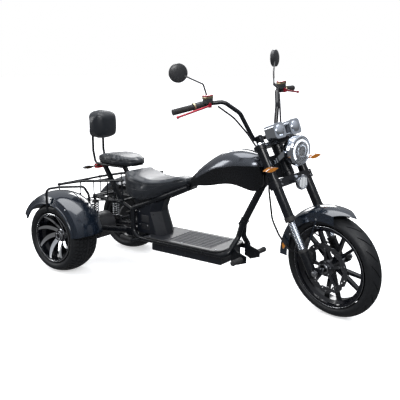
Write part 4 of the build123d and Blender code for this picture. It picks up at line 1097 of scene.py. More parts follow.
@dataclass
class Controls:
    """Grips, levers, reservoirs, switch housings and mirrors."""

    steer: Steering
    inner: Point = (0.271, 0.292, 1.165)
    outer: Point = (0.219, 0.480, 1.145)

    def build(self) -> None:
        """Everything by the rider's hands."""
        dress("hand_controls", Look.CONTROL)
        dress("brake_levers", Look.RED)
        dress("mirrors", Look.CONTROL)
        dress("control_lines", Look.CABLE)
        self._hose()
        self._grips()
        self._housings()
        self._mirrors()
        self._levers()

    def _hose(self) -> None:
        """Spiral guard round the brake hose between the crown and the mudguard."""
        route = ((-0.349, 0.872), (-0.319, 0.838), (-0.281, 0.755), (-0.302, 0.670), (-0.3104, 0.585),
                 (-0.2994, 0.5),
                 (-0.2494, 0.42), (-0.1744, 0.352))
        sides = (-0.115, -0.116, -0.114, -0.096, -0.08, -0.084, -0.088, -0.092)
        foot = self.steer.foot[0]
        points = [self.steer.parked_point(foot + x, y, z) for (x, z), y in zip(route, sides)]
        bends = (0.03, 0.09, 0.06, 0.12, 0.12, 0.09)
        path = [points[0]]
        for before, corner, after, bend in zip(points, points[1:], points[2:], bends):
            back, on = (before - corner).normalized(), (after - corner).normalized()
            cut = bend / math.tan(back.angle(on) / 2)
            one, two = corner + back * cut, corner + on * cut
            path += [one.lerp(corner, t).lerp(corner.lerp(two, t), t) for t in (0, 0.2, 0.4, 0.6, 0.8, 1)]
        path.append(points[-1])
        bm = bmesh.new()
        tube(bm, path, 0.0056, 14)
        add_piece("hose_guard", bm, "steering", Look.CABLE)

    def _ends(self, side: int) -> Tuple[Vector, Vector]:
        """Inner and outer end of one bar run, bars parked."""
        (x0, y0, z0), (x1, y1, z1) = self.inner, self.outer
        return self.steer.parked_point(x0, side * y0, z0), self.steer.parked_point(x1, side * y1, z1)

    def _grips(self) -> None:
        """Grips with end flanges and raised rings."""
        bm = bmesh.new()
        length = 0.122
        for side in SIDES:
            a, b = self._ends(side)
            place = frame_at(b, a - b)
            rows: List[Row] = [(0.0, -0.0028), (0.0125, -0.003), (0.0165, -0.001), (0.0172, 0.002),
                               (0.0158, 0.006)]
            for i in range(11):
                z = 0.01 + i * 0.0092
                rows += [(0.0151, z), (0.0165, z + 0.0016), (0.0165, z + 0.0056), (0.0151, z + 0.0072)]
            rows += [(0.0155, length - 0.006), (0.0182, length - 0.004), (0.0182, length), (0.0122, length)]
            lathe(bm, rows, place, 40)
        piece = add_piece("grip_rubbers", bm, "steering", Look.GRIP, 40)
        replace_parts(piece, "grips")

    def _housings(self) -> None:
        """Split lines, switch buttons, reservoir caps and their screws."""
        bands, buttons, caps, gold = (bmesh.new() for _ in range(4))
        for side in SIDES:
            a, b = self._ends(side)
            run = (b - a).normalized()
            for share in (0.012, 0.034, 0.058):
                lathe(bands, [(0.0198, -0.0011), (0.0211, -0.0008), (0.0211, 0.0008), (0.0198, 0.0011)],
                      frame_at(a + run * share, run), 36)
            back = self.steer.turn.to_3x3() @ Vector((-1, 0, 0.25))
            for k, share in enumerate((0.018, 0.03, 0.046)):
                block(buttons, (0.008, 0.007, 0.006),
                      frame_at(a + run * share + back.normalized() * 0.0195, back), 0.0016)
                if k == 1:
                    block(buttons, (0.004, 0.012, 0.005),
                          frame_at(a + run * share + back.normalized() * 0.022, back), 0.001)
            top = self.steer.parked_point(self.inner[0] + 0.022, side * (self.inner[1] + 0.002),
                                          self.inner[2] + 0.0442)
            up = Vector((0, 0, 1))
            flat = Matrix.Translation(top) @ self.steer.turn.to_3x3().to_4x4()
            block(caps, (0.036, 0.054, 0.006), flat @ shift(0, 0, 0.002), 0.0022)
            for dx, dy in ((-0.012, -0.02), (0.012, 0.02)):
                cap_bolt(gold, frame_at(flat @ Vector((dx, dy, 0.0048)), up), 0.0024, 0.0018)
            lathe(gold, [(0.0205, 0.0), (0.0222, 0.001), (0.0222, 0.009), (0.0205, 0.01)],
                  frame_at(a + run * 0.0662, run), 36)
            block(gold, (0.035, 0.053, 0.012), flat @ shift(0, 0, -0.008), 0.0025)
        add_piece("housing_bands", bands, "steering", Look.GRIP)
        add_piece("switch_buttons", buttons, "steering", Look.RED)
        add_piece("reservoir_caps", caps, "steering", Look.RED)
        add_piece("reservoir_bands", gold, "steering", Look.GOLD)

    def _levers(self) -> None:
        """Pivot screws and ball ends of the levers."""
        bm = bmesh.new()
        for side in SIDES:
            root = self.steer.parked_point(self.inner[0] + 0.042, side * (self.inner[1] + 0.008),
                                           self.inner[2] + 0.0038)
            hex_bolt(bm, frame_at(root, (0, 0, 1)), 0.0052, 0.0045)
            tip = self.steer.parked_point(self.outer[0] + 0.039, side * (self.outer[1] + 0.002), 1.122)
            near = self.steer.parked_point(self.inner[0] + 0.031, side * 0.345, 1.150)
            out = (tip - near).normalized()
            lathe(bm, [(0.0055, -0.004), (0.0078, 0.0), (0.0086, 0.004), (0.0078, 0.008), (0.004, 0.0108),
                       (0, 0.0112)],
                  frame_at(tip - out * 0.005, out), 28)
        add_piece("lever_ends", bm, "steering", Look.RED)

    def _mirrors(self) -> None:
        """Silvered glass, rubber rims and stem nuts."""
        glass, rims, nuts = (bmesh.new() for _ in range(3))
        for side in SIDES:
            look = Vector((math.cos(math.radians(20)), side * math.sin(math.radians(20)), 0))
            head = Vector((self.inner[0] - 0.095, side * 0.384, 1.337))
            back = self.steer.turn.to_3x3() @ -look
            at = self.steer.turn @ (head - look * 0.0162)
            place = frame_at(at, back)
            lathe(glass, [(0.0465, 0.0006), (0.03, 0.0011), (0, 0.0014)], place, 64)
            lathe(rims, [(0.0505, -0.004), (0.0516, -0.001), (0.0508, 0.0016), (0.0475, 0.002),
                         (0.0462, 0.0004)], place, 72)
            front = frame_at(self.steer.turn @ (head + look * 0.0002), -back)
            lathe(rims, [(0.0505, -0.003), (0.0495, 0.0022), (0.042, 0.006), (0.025, 0.0092), (0, 0.0102)],
                  front, 72)
            foot = self.steer.parked_point(self.inner[0] - 0.013, side * 0.267, 1.2)
            hex_bolt(nuts, frame_at(foot, (0, 0, 1)), 0.0075, 0.007)
        add_piece("mirror_glass", glass, "steering", Look.MIRROR)
        add_piece("mirror_rims", rims, "steering", Look.CONTROL)
        add_piece("mirror_nuts", nuts, "steering", Look.CONTROL)


# ------------------------------------------------------------------ soft goods
@dataclass
class Cushion:
    """A padded piece: rounded and inflated from its CAD space, then grooved along its seams.

    Args:
        name: Name of the piece.
        node: CAD node it replaces.
        voxel: Remesh size in metres.
        shrink: Size of the starting form as a share of the CAD piece.
        rounding: Smoothing passes before the cover is inflated.
        cap: Farthest a point may swell.
        fill: How tight the padding is, 0 to 1; not used.
        grooves: Seams, each as the signed distance of a point from it.
        shape: Moves a point of the plain form to the padded one.
        channels: Pressed channels as (plane point, plane normal, depth, width).
        crown: Whether a point carries the channels.
    """

    name: str
    node: str
    voxel: float
    shrink: float
    rounding: int
    cap: float
    fill: float
    grooves: Tuple[Callable[[Vector], float], ...] = ()
    shape: Callable[[Vector], Vector] = staticmethod(lambda p: p)
    channels: Tuple[Tuple[Point, Point, float, float], ...] = ()
    crown: Callable[[Vector], bool] = staticmethod(lambda p: False)
    swell_frames: ClassVar[int] = 20
    groove_depth: ClassVar[float] = 0.0028
    groove_width: ClassVar[float] = 0.004

    def _start(self) -> bpy.types.Object:
        """A slightly smaller, remeshed and rounded copy of the CAD solid."""
        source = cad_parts[self.node]
        mesh = source.data.copy()
        mesh.name = self.name
        piece = bpy.data.objects.new(self.name, mesh)
        bpy.context.scene.collection.objects.link(piece)
        low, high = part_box(self.node)
        centre = (low + high) / 2
        for v in mesh.vertices:
            v.co = centre + (v.co - centre) * self.shrink
        remesh = piece.modifiers.new("even", "REMESH")
        remesh.mode = "VOXEL"
        remesh.voxel_size = self.voxel
        self._apply(piece)
        for v in piece.data.vertices:
            v.co = self.shape(v.co)
        rounder = piece.modifiers.new("round", "SMOOTH")
        rounder.iterations = self.rounding
        rounder.factor = 0.5
        self._apply(piece)
        return piece

    @staticmethod
    def _apply(piece: bpy.types.Object) -> None:
        """Replaces the mesh by what its modifiers make."""
        graph = bpy.context.evaluated_depsgraph_get()
        made = bpy.data.meshes.new_from_object(piece.evaluated_get(graph), depsgraph=graph)
        piece.modifiers.clear()
        piece.data = made
        made.materials.clear()

    def _inflate(self, piece: bpy.types.Object) -> None:
        """Blows the cover up a little with cloth, no point farther than the cap."""
        rest = [v.co.copy() for v in piece.data.vertices]
        cloth = piece.modifiers.new("swell", "CLOTH")
        cloth.settings.use_pressure = True
        cloth.settings.uniform_pressure_force = 4.0
        cloth.settings.effector_weights.gravity = 0.0
        cloth.settings.quality = 4
        cloth.settings.tension_stiffness = 25
        cloth.settings.bending_stiffness = 2.0
        cloth.point_cache.frame_start = 1
        cloth.point_cache.frame_end = self.swell_frames
        scene = bpy.context.scene
        for step in range(1, self.swell_frames + 1):
            scene.frame_set(step)
        self._apply(piece)
        scene.frame_set(1)
        for v, before in zip(piece.data.vertices, rest):
            move = v.co - before
            if move.length > self.cap:
                v.co = before + move.normalized() * self.cap

    def _press(self, piece: bpy.types.Object) -> None:
        """Presses the channels and seam grooves into the cover."""
        mesh = piece.data
        mesh.update()
        normals = [v.normal.copy() for v in mesh.vertices]
        for v, normal in zip(mesh.vertices, normals):
            sink = 0.0
            if self.crown(v.co):
                for point, across, depth, width in self.channels:
                    off = (v.co - Vector(point)).dot(Vector(across))
                    sink = max(sink, depth * math.exp(-(off / width) ** 2))
            for groove in self.grooves:
                off = groove(v.co)
                sink = max(sink, self.groove_depth * math.exp(-(off / self.groove_width) ** 2))
            if sink:
                v.co = v.co - normal * sink

    def build(self, look_under: Look, look_top_painted_highlight: Look,
              top: Callable[[Vector, Vector], bool]) -> bpy.types.Object:
        """Makes the cushion.

        Args:
            look_under: Finish of the sides.
            look_top_painted_highlight: Finish of the faces chosen by top: a lighter copy of look_under that
                paints a highlight on them.
            top: Whether a face, by its centre and normal, is an upper face that gets the painted highlight.
        """
        piece = self._start()
        self._inflate(piece)
        finer = piece.modifiers.new("fine", "SUBSURF")
        finer.levels = finer.render_levels = 1
        self._apply(piece)
        self._press(piece)
        piece.data.materials.append(Painter.material(look_under))
        piece.data.materials.append(Painter.material(look_top_painted_highlight))
        for face in piece.data.polygons:
            face.material_index = 1 if top(face.center, face.normal) else 0
            face.use_smooth = True
        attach(piece, "chassis")
        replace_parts(piece, self.node)
        log.info("%s: %d faces", self.name, len(piece.data.polygons))
        return piece


def rim_loop(piece: bpy.types.Object, centre: Sequence[float], level: Callable[[float, float], float],
             steps: int = 120, proud: float = 0.0) -> List[Vector]:
    """Where a level surface meets a cushion's skin, as a closed loop.

    Args:
        piece: The cushion.
        centre: A point inside it.
        level: Height for a place in plan.
        steps: Points round the loop.
        proud: How far the loop stands off the skin.
    """
    tree = BVHTree.FromPolygons([v.co for v in piece.data.vertices],
                                [list(p.vertices) for p in piece.data.polygons])
    loop: List[Vector] = []
    for i in range(steps):
        a = 2 * math.pi * i / steps
        run = Vector((math.cos(a), math.sin(a), 0))
        reach, height = 0.05, level(centre[0], centre[1])
        for _ in range(6):
            start = Vector((centre[0], centre[1], height)) + run * 0.6
            hit = tree.ray_cast(start, -run)[0]
            if hit is None:
                break
            reach = (hit - Vector((centre[0], centre[1], height))).dot(run)
            height = level(centre[0] + run.x * reach, centre[1] + run.y * reach)
        loop.append(Vector((centre[0], centre[1], height)) + run * (reach + proud))
    return [(loop[i - 1] + loop[i] * 2 + loop[(i + 1) % steps]) / 4 for i in range(steps)]


def add_welt(name: str, loop: Sequence[Vector], radius: float, look: Look) -> None:
    """Adds a piped seam along a loop."""
    bm = bmesh.new()
    tube(bm, loop, radius, 10, closed=True)
    add_piece(name, bm, "chassis", look)


@dataclass
class Seats:
    """Driver's saddle, passenger cushion and backrest pad."""

    def build(self) -> None:
        """Makes the three padded pieces and dresses what holds them."""
        self._saddle()
        self._passenger()
        self._backrest()
        dress("seat_pan", Look.PLASTIC)
        dress("passenger_frame", Look.FRAME)
        dress("backrest_frame", Look.FRAME)

    @staticmethod
    def _saddle_edge(x: float, y: float) -> float:
        """Height of the saddle's upper seam."""
        t = (x + 0.53) / 0.42
        return 0.645 - 0.04 * math.sin(math.pi * min(1.0, max(0.0, t))) + 0.006 * t

    def _saddle(self) -> None:
        """Dished saddle with dark sides, a painted highlight on its upper faces (a lighter copy of the side
        leather) and two piped seams.
        """
        edge = self._saddle_edge
        saddle = Cushion("driver_saddle", "driver_seat", 0.0058, 0.995, 46, 0.009, 0.8,
                         (lambda p: p.z - edge(p.x, p.y) if p.x > -0.54 else 1.0,))
        # The upward faces above the upper seam get the lighter leather as a painted highlight.
        piece = saddle.build(Look.LEATHER, Look.LEATHER_TOP_PAINTED_HIGHLIGHT, lambda c,
                             n: c.z > edge(c.x, c.y) and n.z > 0.25)
        loop = rim_loop(piece, (-0.34, 0, 0.6), edge, 150, 0.0002)
        add_welt("saddle_welt", loop, 0.0026, Look.LEATHER)
        low = rim_loop(piece, (-0.34, 0, 0.6), lambda x, y: max(0.535, 0.5 + 0.4245 * (x + 0.42)) + 0.035,
                       150, -0.0004)
        add_welt("saddle_hem", low, 0.0022, Look.LEATHER)

    def _passenger(self) -> None:
        """Lens-shaped cushion with a painted highlight on its upward top faces (a lighter copy of the side
        leather) and a piped seam.
        """
        seam = 0.726
        channels = (((-0.735, 0, 0), (1, 0, 0), 0.0045, 0.007),)
        cushion = Cushion("passenger_cushion", "passenger_seat", 0.005, 0.99, 14, 0.007, 0.8,
                          (lambda p: p.z - seam,),
                          channels=channels, crown=lambda p: p.z > seam + 0.004)
        # The upward faces above the seam get the lighter leather as a painted highlight.
        piece = cushion.build(Look.LEATHER, Look.LEATHER_TOP_PAINTED_HIGHLIGHT, lambda c,
                              n: c.z > seam + 0.003 and n.z > 0.55)
        loop = rim_loop(piece, (-0.68, 0, seam), lambda x, y: seam, 140, 0.0003)
        add_welt("passenger_welt", loop, 0.0024, Look.LEATHER)

    def _backrest(self) -> None:
        """Rounded pad with a bulging front and a seam round its back."""
        low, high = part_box("backrest_pad")
        middle, half = (low + high) / 2, (high - low) / 2

        def rounded(p: Vector) -> Vector:
            """Rounds the outline and bulges the front."""
            u, w = (p.y - middle.y) / half.y, (p.z - middle.z) / half.z
            pull = 1 / max(1.0, (abs(u) ** 2.7 + abs(w) ** 2.7) ** (1 / 2.7))
            edge = min(1.0, max(abs(u), abs(w)) * min(1.0, (abs(u) ** 2.7 + abs(w) ** 2.7) ** (1 / 2.7)))
            front = max(0.0, (p.x - low.x) / (high.x - low.x))
            x = low.x + (high.x - low.x) * front * (1 - 0.42 * edge ** 2)
            return Vector((x, middle.y + (p.y - middle.y) * pull, middle.z + (p.z - middle.z) * pull))

        pad = Cushion("backrest_cushion", "backrest_pad", 0.005, 1.0, 12, 0.006, 0.85,
                      (lambda p: p.x - low.x - 0.014,), rounded)
        pad.build(Look.LEATHER, Look.LEATHER, lambda c, n: False)


# ------------------------------------------------------------------ body work
@dataclass
class Bodywork:
    """Mudguards, tank, floor, battery and the housing under the saddle."""

    track: float = REAR_AXLE[1]
    axle: Row = (REAR_AXLE[0], REAR_AXLE[2])
    steer: Steering = STEER

    def build(self) -> None:
        """Dresses the panels and adds their fixings."""
        for node in ("rear_fender_left", "rear_fender_right", "front_fender"):
            dress(node, Look.FENDER)
        dress("tank", Look.TANK)
        dress("tank_panels", Look.PANEL)
        dress("body_cover", Look.PLASTIC)
        dress("battery_box", Look.PLASTIC)
        dress("floorboard", Look.MAT)
        self._tank()
        self._fenders()
        self._floor()
        self._cover()

    def _tank(self) -> None:
        """Filler ring, cap and the screws round it."""
        cap, ring, screws = bmesh.new(), bmesh.new(), bmesh.new()
        top = Vector((0.236, 0, 0.8555))
        place = frame_at(top, (-0.13, 0, 1))
        lathe(ring, [(0.040, -0.008), (0.041, 0.0), (0.0395, 0.003), (0.036, 0.0042), (0.0345, 0.002)],
              place, 64)
        lathe(cap, [(0.0342, 0.001), (0.0335, 0.0048), (0.031, 0.0066), (0.012, 0.0078), (0.0095, 0.0066),
                    (0, 0.0064)],
              place, 64)
        for k in range(6):
            a = math.pi * k / 3
            cap_bolt(screws, place @ shift(math.cos(a) * 0.0375, math.sin(a) * 0.0375, 0.003),
                     0.0024, 0.002)
        add_piece("filler_ring", ring, "chassis", Look.CHROME)
        add_piece("filler_cap", cap, "chassis", Look.STEEL)
        add_piece("filler_screws", screws, "chassis", Look.STEEL)

    def _fenders(self) -> None:
        """Bolts on the rear mudguards, stay bolts and reflectors."""
        rear_bolts, bolts, lenses, rims = (bmesh.new() for _ in range(4))
        for side in SIDES:
            for angle in (52, 84, 118):
                a = math.radians(angle)
                radius, out = 0.2655, 0.1155
                at = Vector((self.axle[0] - 0.008 + radius * math.cos(a),
                             side * (self.track + out - 0.0005),
                             self.axle[1] + radius * math.sin(a)))
                hex_bolt(rear_bolts, frame_at(at, (0.25 * math.cos(a), side, 0.25 * math.sin(a))), 0.0042,
                         0.0038)
        wheel = self.steer.wheel
        for side in SIDES:
            for angle in (100.0, 148.0):
                a = math.radians(angle)
                at = wheel @ Vector((0.27 * math.cos(a), side * 0.0724, 0.27 * math.sin(a)))
                out = wheel.to_3x3() @ Vector((0, side, 0))
                hex_bolt(bolts, frame_at(at, out), 0.0045, 0.004)
            a = math.radians(166)
            at = wheel @ Vector((0.285 * math.cos(a), side * 0.0722, 0.285 * math.sin(a)))
            out = wheel.to_3x3() @ Vector((0, side, 0))
            upright = wheel.to_3x3() @ Vector((-math.sin(a), 0, math.cos(a)))
            across = out.cross(upright)
            basis = Matrix((across, upright, out)).transposed().to_4x4()
            oval = Matrix.Translation(at) @ basis @ Matrix.Diagonal(Vector((0.55, 1.0, 1.0, 1.0)))
            lathe(lenses, [(0.021, 0.0), (0.0205, 0.004), (0.016, 0.0058), (0, 0.0068)], oval, 40)
            lathe(rims, [(0.0208, 0.0), (0.024, 0.0), (0.0238, 0.0034), (0.0212, 0.0046), (0.0208, 0.003)],
                  oval, 40)
        add_piece("rear_fender_bolts", rear_bolts, "chassis", Look.STEEL)
        add_piece("front_fender_bolts", bolts, "steering", Look.STEEL)
        add_piece("fender_reflectors", lenses, "steering", Look.AMBER)
        add_piece("reflector_rims", rims, "steering", Look.CHROME)

    def _floor(self) -> None:
        """Edge strip, fine ribs between the moulded ones and screws; the fine ribs carry a lighter colour
        as a painted highlight.
        """
        low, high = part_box("floorboard")
        strip, studs, screws = (bmesh.new() for _ in range(3))
        half, top, front, r = high.y, FLOOR_TOP, high.x, 0.060
        corner = [(front - r + r * math.sin(math.radians(a)), half - r + r * math.cos(math.radians(a)))
                  for a in range(0, 91, 10)]
        rim = [(low.x + 0.004, half)] + corner
        loop = [Vector((x, y - 0.0005, top - 0.005)) for x,
                y in rim] + [Vector((x, -y + 0.0005, top - 0.005))
                                                                         for x, y in reversed(rim)]
        tube(strip, loop, 0.0042, 10)
        # Fine ribs, coloured lighter than the mat as a painted highlight along them.
        for i in range(-4, 4):
            y = i * 0.028 + 0.014
            tube(studs, [Vector((-0.18, y, top + 0.0002)), Vector((-0.02, y, top + 0.0002)),
                         Vector((0.138, y, top + 0.0002))],
                 0.0022, 8)
        for x in (low.x + 0.03, (low.x + front) / 2, front - 0.035):
            for side in SIDES:
                cap_bolt(screws, shift(x, side * (half - 0.022), top), 0.0058, 0.0032)
        add_piece("floor_edge", strip, "chassis", Look.GRIP)
        add_piece("floor_ribs_painted_highlight", studs, "chassis", Look.RIB_PAINTED_HIGHLIGHT)
        add_piece("floor_screws", screws, "chassis", Look.STEEL)

    def _cover(self) -> None:
        """Charging flap, vents and screws on the housing; bands on the battery."""
        flap, slots, screws = (bmesh.new() for _ in range(3))
        for side in SIDES:
            place = shift(-0.395, side * 0.0902, 0.372)
            block(flap, (0.062, 0.003, 0.046), place, 0.0014)
            for k in range(5):
                block(slots, (0.07, 0.0024, 0.0034), shift(-0.392, side * 0.0903, 0.305 + k * 0.0075),
                      0.001)
            for dx, dz in ((-0.02, 0.118), (-0.02, 0.03), (0.046, 0.03)):
                out = frame_at((-0.42 + dx, side * 0.0902, 0.3 + dz), (0, side, 0))
                cap_bolt(screws, out, 0.0038, 0.0026)
        low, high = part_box("battery_box")
        for x in (low.x + 0.09, (low.x + high.x) / 2, high.x - 0.09):
            ring = [Vector((x, y, z)) for y, z in ((low.y, low.z), (high.y, low.z),
                                                   (high.y, high.z - 0.003),
                                                   (low.y, high.z - 0.003))]
            path: List[Vector] = []
            for k, corner in enumerate(ring):
                after = ring[(k + 1) % 4]
                path += [corner.lerp(after, t / 6) for t in range(6)]
            tube(slots, path, 0.0022, 8, closed=True)
        add_piece("cover_flaps", flap, "chassis", Look.CONTROL)
        add_piece("cover_vents", slots, "chassis", Look.GRIP)
        add_piece("cover_screws", screws, "chassis", Look.STEEL)


# ------------------------------------------------------------------ frame and running gear
@dataclass
class Chassis:
    """Tubular frame, swing arm, shocks, rack, guards and pegs."""

    shock_x: float = SHOCK_TOP[0]
    shock_y: float = 0.100

    def build(self) -> None:
        """Dresses the tubes and adds springs, welds, bolts and plugs."""
        for node in ("head_tube", "down_tube", "front_cradle", "floor_frame", "seat_rails", "rear_frame",
                     "swing_arm",
                     "luggage_rack", "guard_rails", "front_pegs", "rear_pegs"):
            dress(node, Look.FRAME)
        dress("rear_axle", Look.STEEL)
        dress("drive_motor", Look.CALIPER)
        dress("rear_signals", Look.SMOKED)
        dress("tail_lamp", Look.LENS_RED)
        self._shocks()
        self._welds()
        self._motor()
        self._plugs()
        self._rear_lamps()

    def _shocks(self) -> None:
        """Damper bodies inside coil springs."""
        springs, bodies, eyes = (bmesh.new() for _ in range(3))
        for side in SIDES:
            x, y = self.shock_x, side * self.shock_y
            turns, low, high = 8.5, 0.289, 0.423
            count = int(turns * 24)
            path = []
            for i in range(count + 1):
                t = i / count
                rise = low + (high - low) * t
                a = 2 * math.pi * turns * t
                path.append(Vector((x + 0.0225 * math.cos(a), y + 0.0225 * math.sin(a), rise)))
            tube(springs, path, 0.0046, 10)
            place = shift(x, y, 0)
            lathe(bodies, [(0, 0.2665), (0.009, 0.2665), (0.009, 0.2775), (0.0235, 0.2785),
                           (0.0275, 0.2815), (0.0275, 0.2855),
                           (0.016, 0.2865), (0.016, 0.36), (0.0145, 0.3615), (0.0085, 0.363), (0.0085,
                                                                                               0.421),
                           (0.016, 0.4235), (0.0272, 0.4245), (0.0272, 0.4295), (0.018, 0.4315), (0.0105,
                                                                                                  0.438),
                           (0.009, 0.4515), (0, 0.4515)], place, 40)
            for z in (0.2845, 0.4262):
                lathe(eyes, [(0.0272, z - 0.0012), (0.0279, z), (0.0272, z + 0.0012)], place, 40)
        piece = add_piece("shock_bodies", bodies, "chassis", Look.SPRING)
        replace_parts(piece, "shock_absorbers")
        add_piece("shock_springs", springs, "chassis", Look.STEEL)
        add_piece("shock_rings", eyes, "chassis", Look.CONTROL)

    def _welds(self) -> None:
        """Weld beads where the tubes meet."""
        bm = bmesh.new()
        steer_up = Vector((-math.sin(STEER.rake), 0, math.cos(STEER.rake)))
        foot = Vector(STEER.foot)
        for along in (0.535, 0.668):
            weld(bm, foot + steer_up * along, steer_up, 0.0334)
        start = Vector(DOWN_TUBE_FOOT)
        lead = (start - Vector(DOWN_TUBE_TOP)).normalized()
        weld(bm, start + lead * 0.001, lead, 0.0242)
        weld(bm, start + lead * 0.040, lead, 0.0242)
        for side in SIDES:
            weld(bm, (0.100, side * 0.128, 0.2508), (1, 0, 0), 0.0162)
            for x in (-0.345, -0.420):
                weld(bm, (x, side * 0.113, 0.2508), (0, 1, 0), 0.0112)
            weld(bm, (-0.866, side * 0.0715, 0.464), (0, 1, 0), 0.0112)
            weld(bm, (-0.620, side * 0.0715, 0.453), (0, 1, 0), 0.0112)
            weld(bm, (SHOCK_TOP[0], side * 0.098, SHOCK_TOP[1]), (0, 1, 0), 0.0103)
            weld(bm, (-0.700, side * 0.188, 0.6023), (0, 1, 0), 0.0082)
            weld(bm, (-1.092, side * 0.188, 0.534), (0, 1, 0), 0.0082)
        add_piece("frame_welds", bm, "chassis", Look.FRAME, 60)

    def _motor(self) -> None:
        """Cooling fins and cover bolts on the drive drum."""
        fins, bolts = bmesh.new(), bmesh.new()
        x, _, z = REAR_AXLE
        place = frame_at((x, 0, z), (0, 1, 0))
        for k in range(-5, 6):
            y = k * 0.0105
            lathe(fins, [(0.0895, y - 0.0022), (0.0915, y - 0.0016), (0.0915, y + 0.0016),
                         (0.0895, y + 0.0022)], place, 72)
        add_piece("motor_fins", fins, "chassis", Look.CALIPER)
        for side in SIDES:
            for k in range(8):
                a = 2 * math.pi * k / 8
                at = (x + 0.076 * math.cos(a), side * 0.0661, z + 0.076 * math.sin(a))
                cap_bolt(bolts, frame_at(at, (0, side, 0)), 0.0044, 0.004)
            hex_bolt(bolts, frame_at((-0.5, side * 0.1232, 0.28), (0, side, 0)), 0.0105, 0.007)
            hex_bolt(bolts, frame_at((x, side * 0.361, z), (0, side, 0)), 0.0092, 0.007)
        add_piece("motor_bolts", bolts, "chassis", Look.STEEL)

    def _plugs(self) -> None:
        """Rubber plugs and grips on tube ends and pegs, and their rings."""
        bm, tops = bmesh.new(), bmesh.new()
        for side in SIDES:
            peg = frame_at((0.338, side * 0.172, 0.236), (0, side, 0))
            rows: List[Row] = [(0.0122, -0.088)]
            for k in range(8):
                z = -0.086 + k * 0.0108
                rows += [(0.0136, z), (0.0158, z + 0.0015), (0.0158, z + 0.0065), (0.0136, z + 0.008)]
            rows += [(0.0165, -0.0006), (0.0165, 0.003), (0.012, 0.0048), (0, 0.005)]
            lathe(bm, rows, peg, 32)
            a, b = Vector((-0.440, side * 0.168, 0.240)), Vector((-0.532, side * 0.168, 0.248))
            rear = frame_at(a, b - a)
            rows = [(0.0122, 0.006)]
            for k in range(7):
                z = 0.008 + k * 0.0112
                rows += [(0.0136, z), (0.0155, z + 0.0016), (0.0155, z + 0.0068), (0.0136, z + 0.0084)]
            rows += [(0.0162, 0.0885), (0.0162, 0.0925), (0.012, 0.0945), (0, 0.0948)]
            lathe(bm, rows, rear, 32)
            for x, z, r in ((-1.092, 0.534, 0.009), (-0.484, 0.629, 0.009)):
                out = (-1, 0, -0.21) if x < -1 else (1, 0, 0.124)
                lathe(tops, [(0, 0), (r * 1.12, 0), (r * 1.12, 0.0022), (r * 0.8, 0.0045), (0, 0.005)],
                      frame_at((x, side * 0.196, z), out), 28)
        add_piece("peg_rubbers", bm, "chassis", Look.GRIP)
        add_piece("rack_plugs", tops, "chassis", Look.GRIP)

    def _rear_lamps(self) -> None:
        """Frames on the rear lamps."""
        bm = bmesh.new()
        for side in SIDES:
            at = shift(-0.840, side * 0.152, 0.6733) @ Matrix.Rotation(math.pi, 4, "Z")
            leaf_rim(bm, at, 0.045, 0.010, 0.0095)
        low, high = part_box("tail_lamp")
        corners = [(low.y, low.z), (high.y, low.z), (high.y, high.z), (low.y, high.z)]
        path: List[Vector] = []
        for k, (y, z) in enumerate(corners):
            y1, z1 = corners[(k + 1) % 4]
            path += [Vector((low.x + 0.001, y + (y1 - y) * t / 8, z + (z1 - z) * t / 8)) for t in range(8)]
        tube(bm, path, 0.0018, 8, closed=True)
        add_piece("rear_lamp_rims", bm, "chassis", Look.CHROME)


@dataclass
class FrontBrake:
    """Caliper body, its bolts and the hose union."""

    steer: Steering

    def build(self) -> None:
        """Dresses the caliper and adds fixings."""
        dress("brake_caliper", Look.CALIPER)
        wheel = self.steer.wheel
        out = wheel.to_3x3() @ Vector((0, -1, 0))
        bm, gold = bmesh.new(), bmesh.new()
        for dx, dz in ((-0.02, 0.018), (0.018, -0.016)):
            at = wheel @ Vector((-0.104 + dx, -0.0821, 0.042 + dz))
            hex_bolt(bm, frame_at(at, out), 0.0062, 0.005)
        at = wheel @ Vector((-0.104 + 0.002, -0.0821, 0.042 + 0.002))
        lathe(gold, [(0, 0), (0.0135, 0), (0.0135, 0.002), (0.011, 0.0035), (0, 0.0035)], frame_at(at, out),
              32)
        add_piece("caliper_bolts", bm, "steering", Look.STEEL)
        add_piece("caliper_cap", gold, "steering", Look.GOLD)


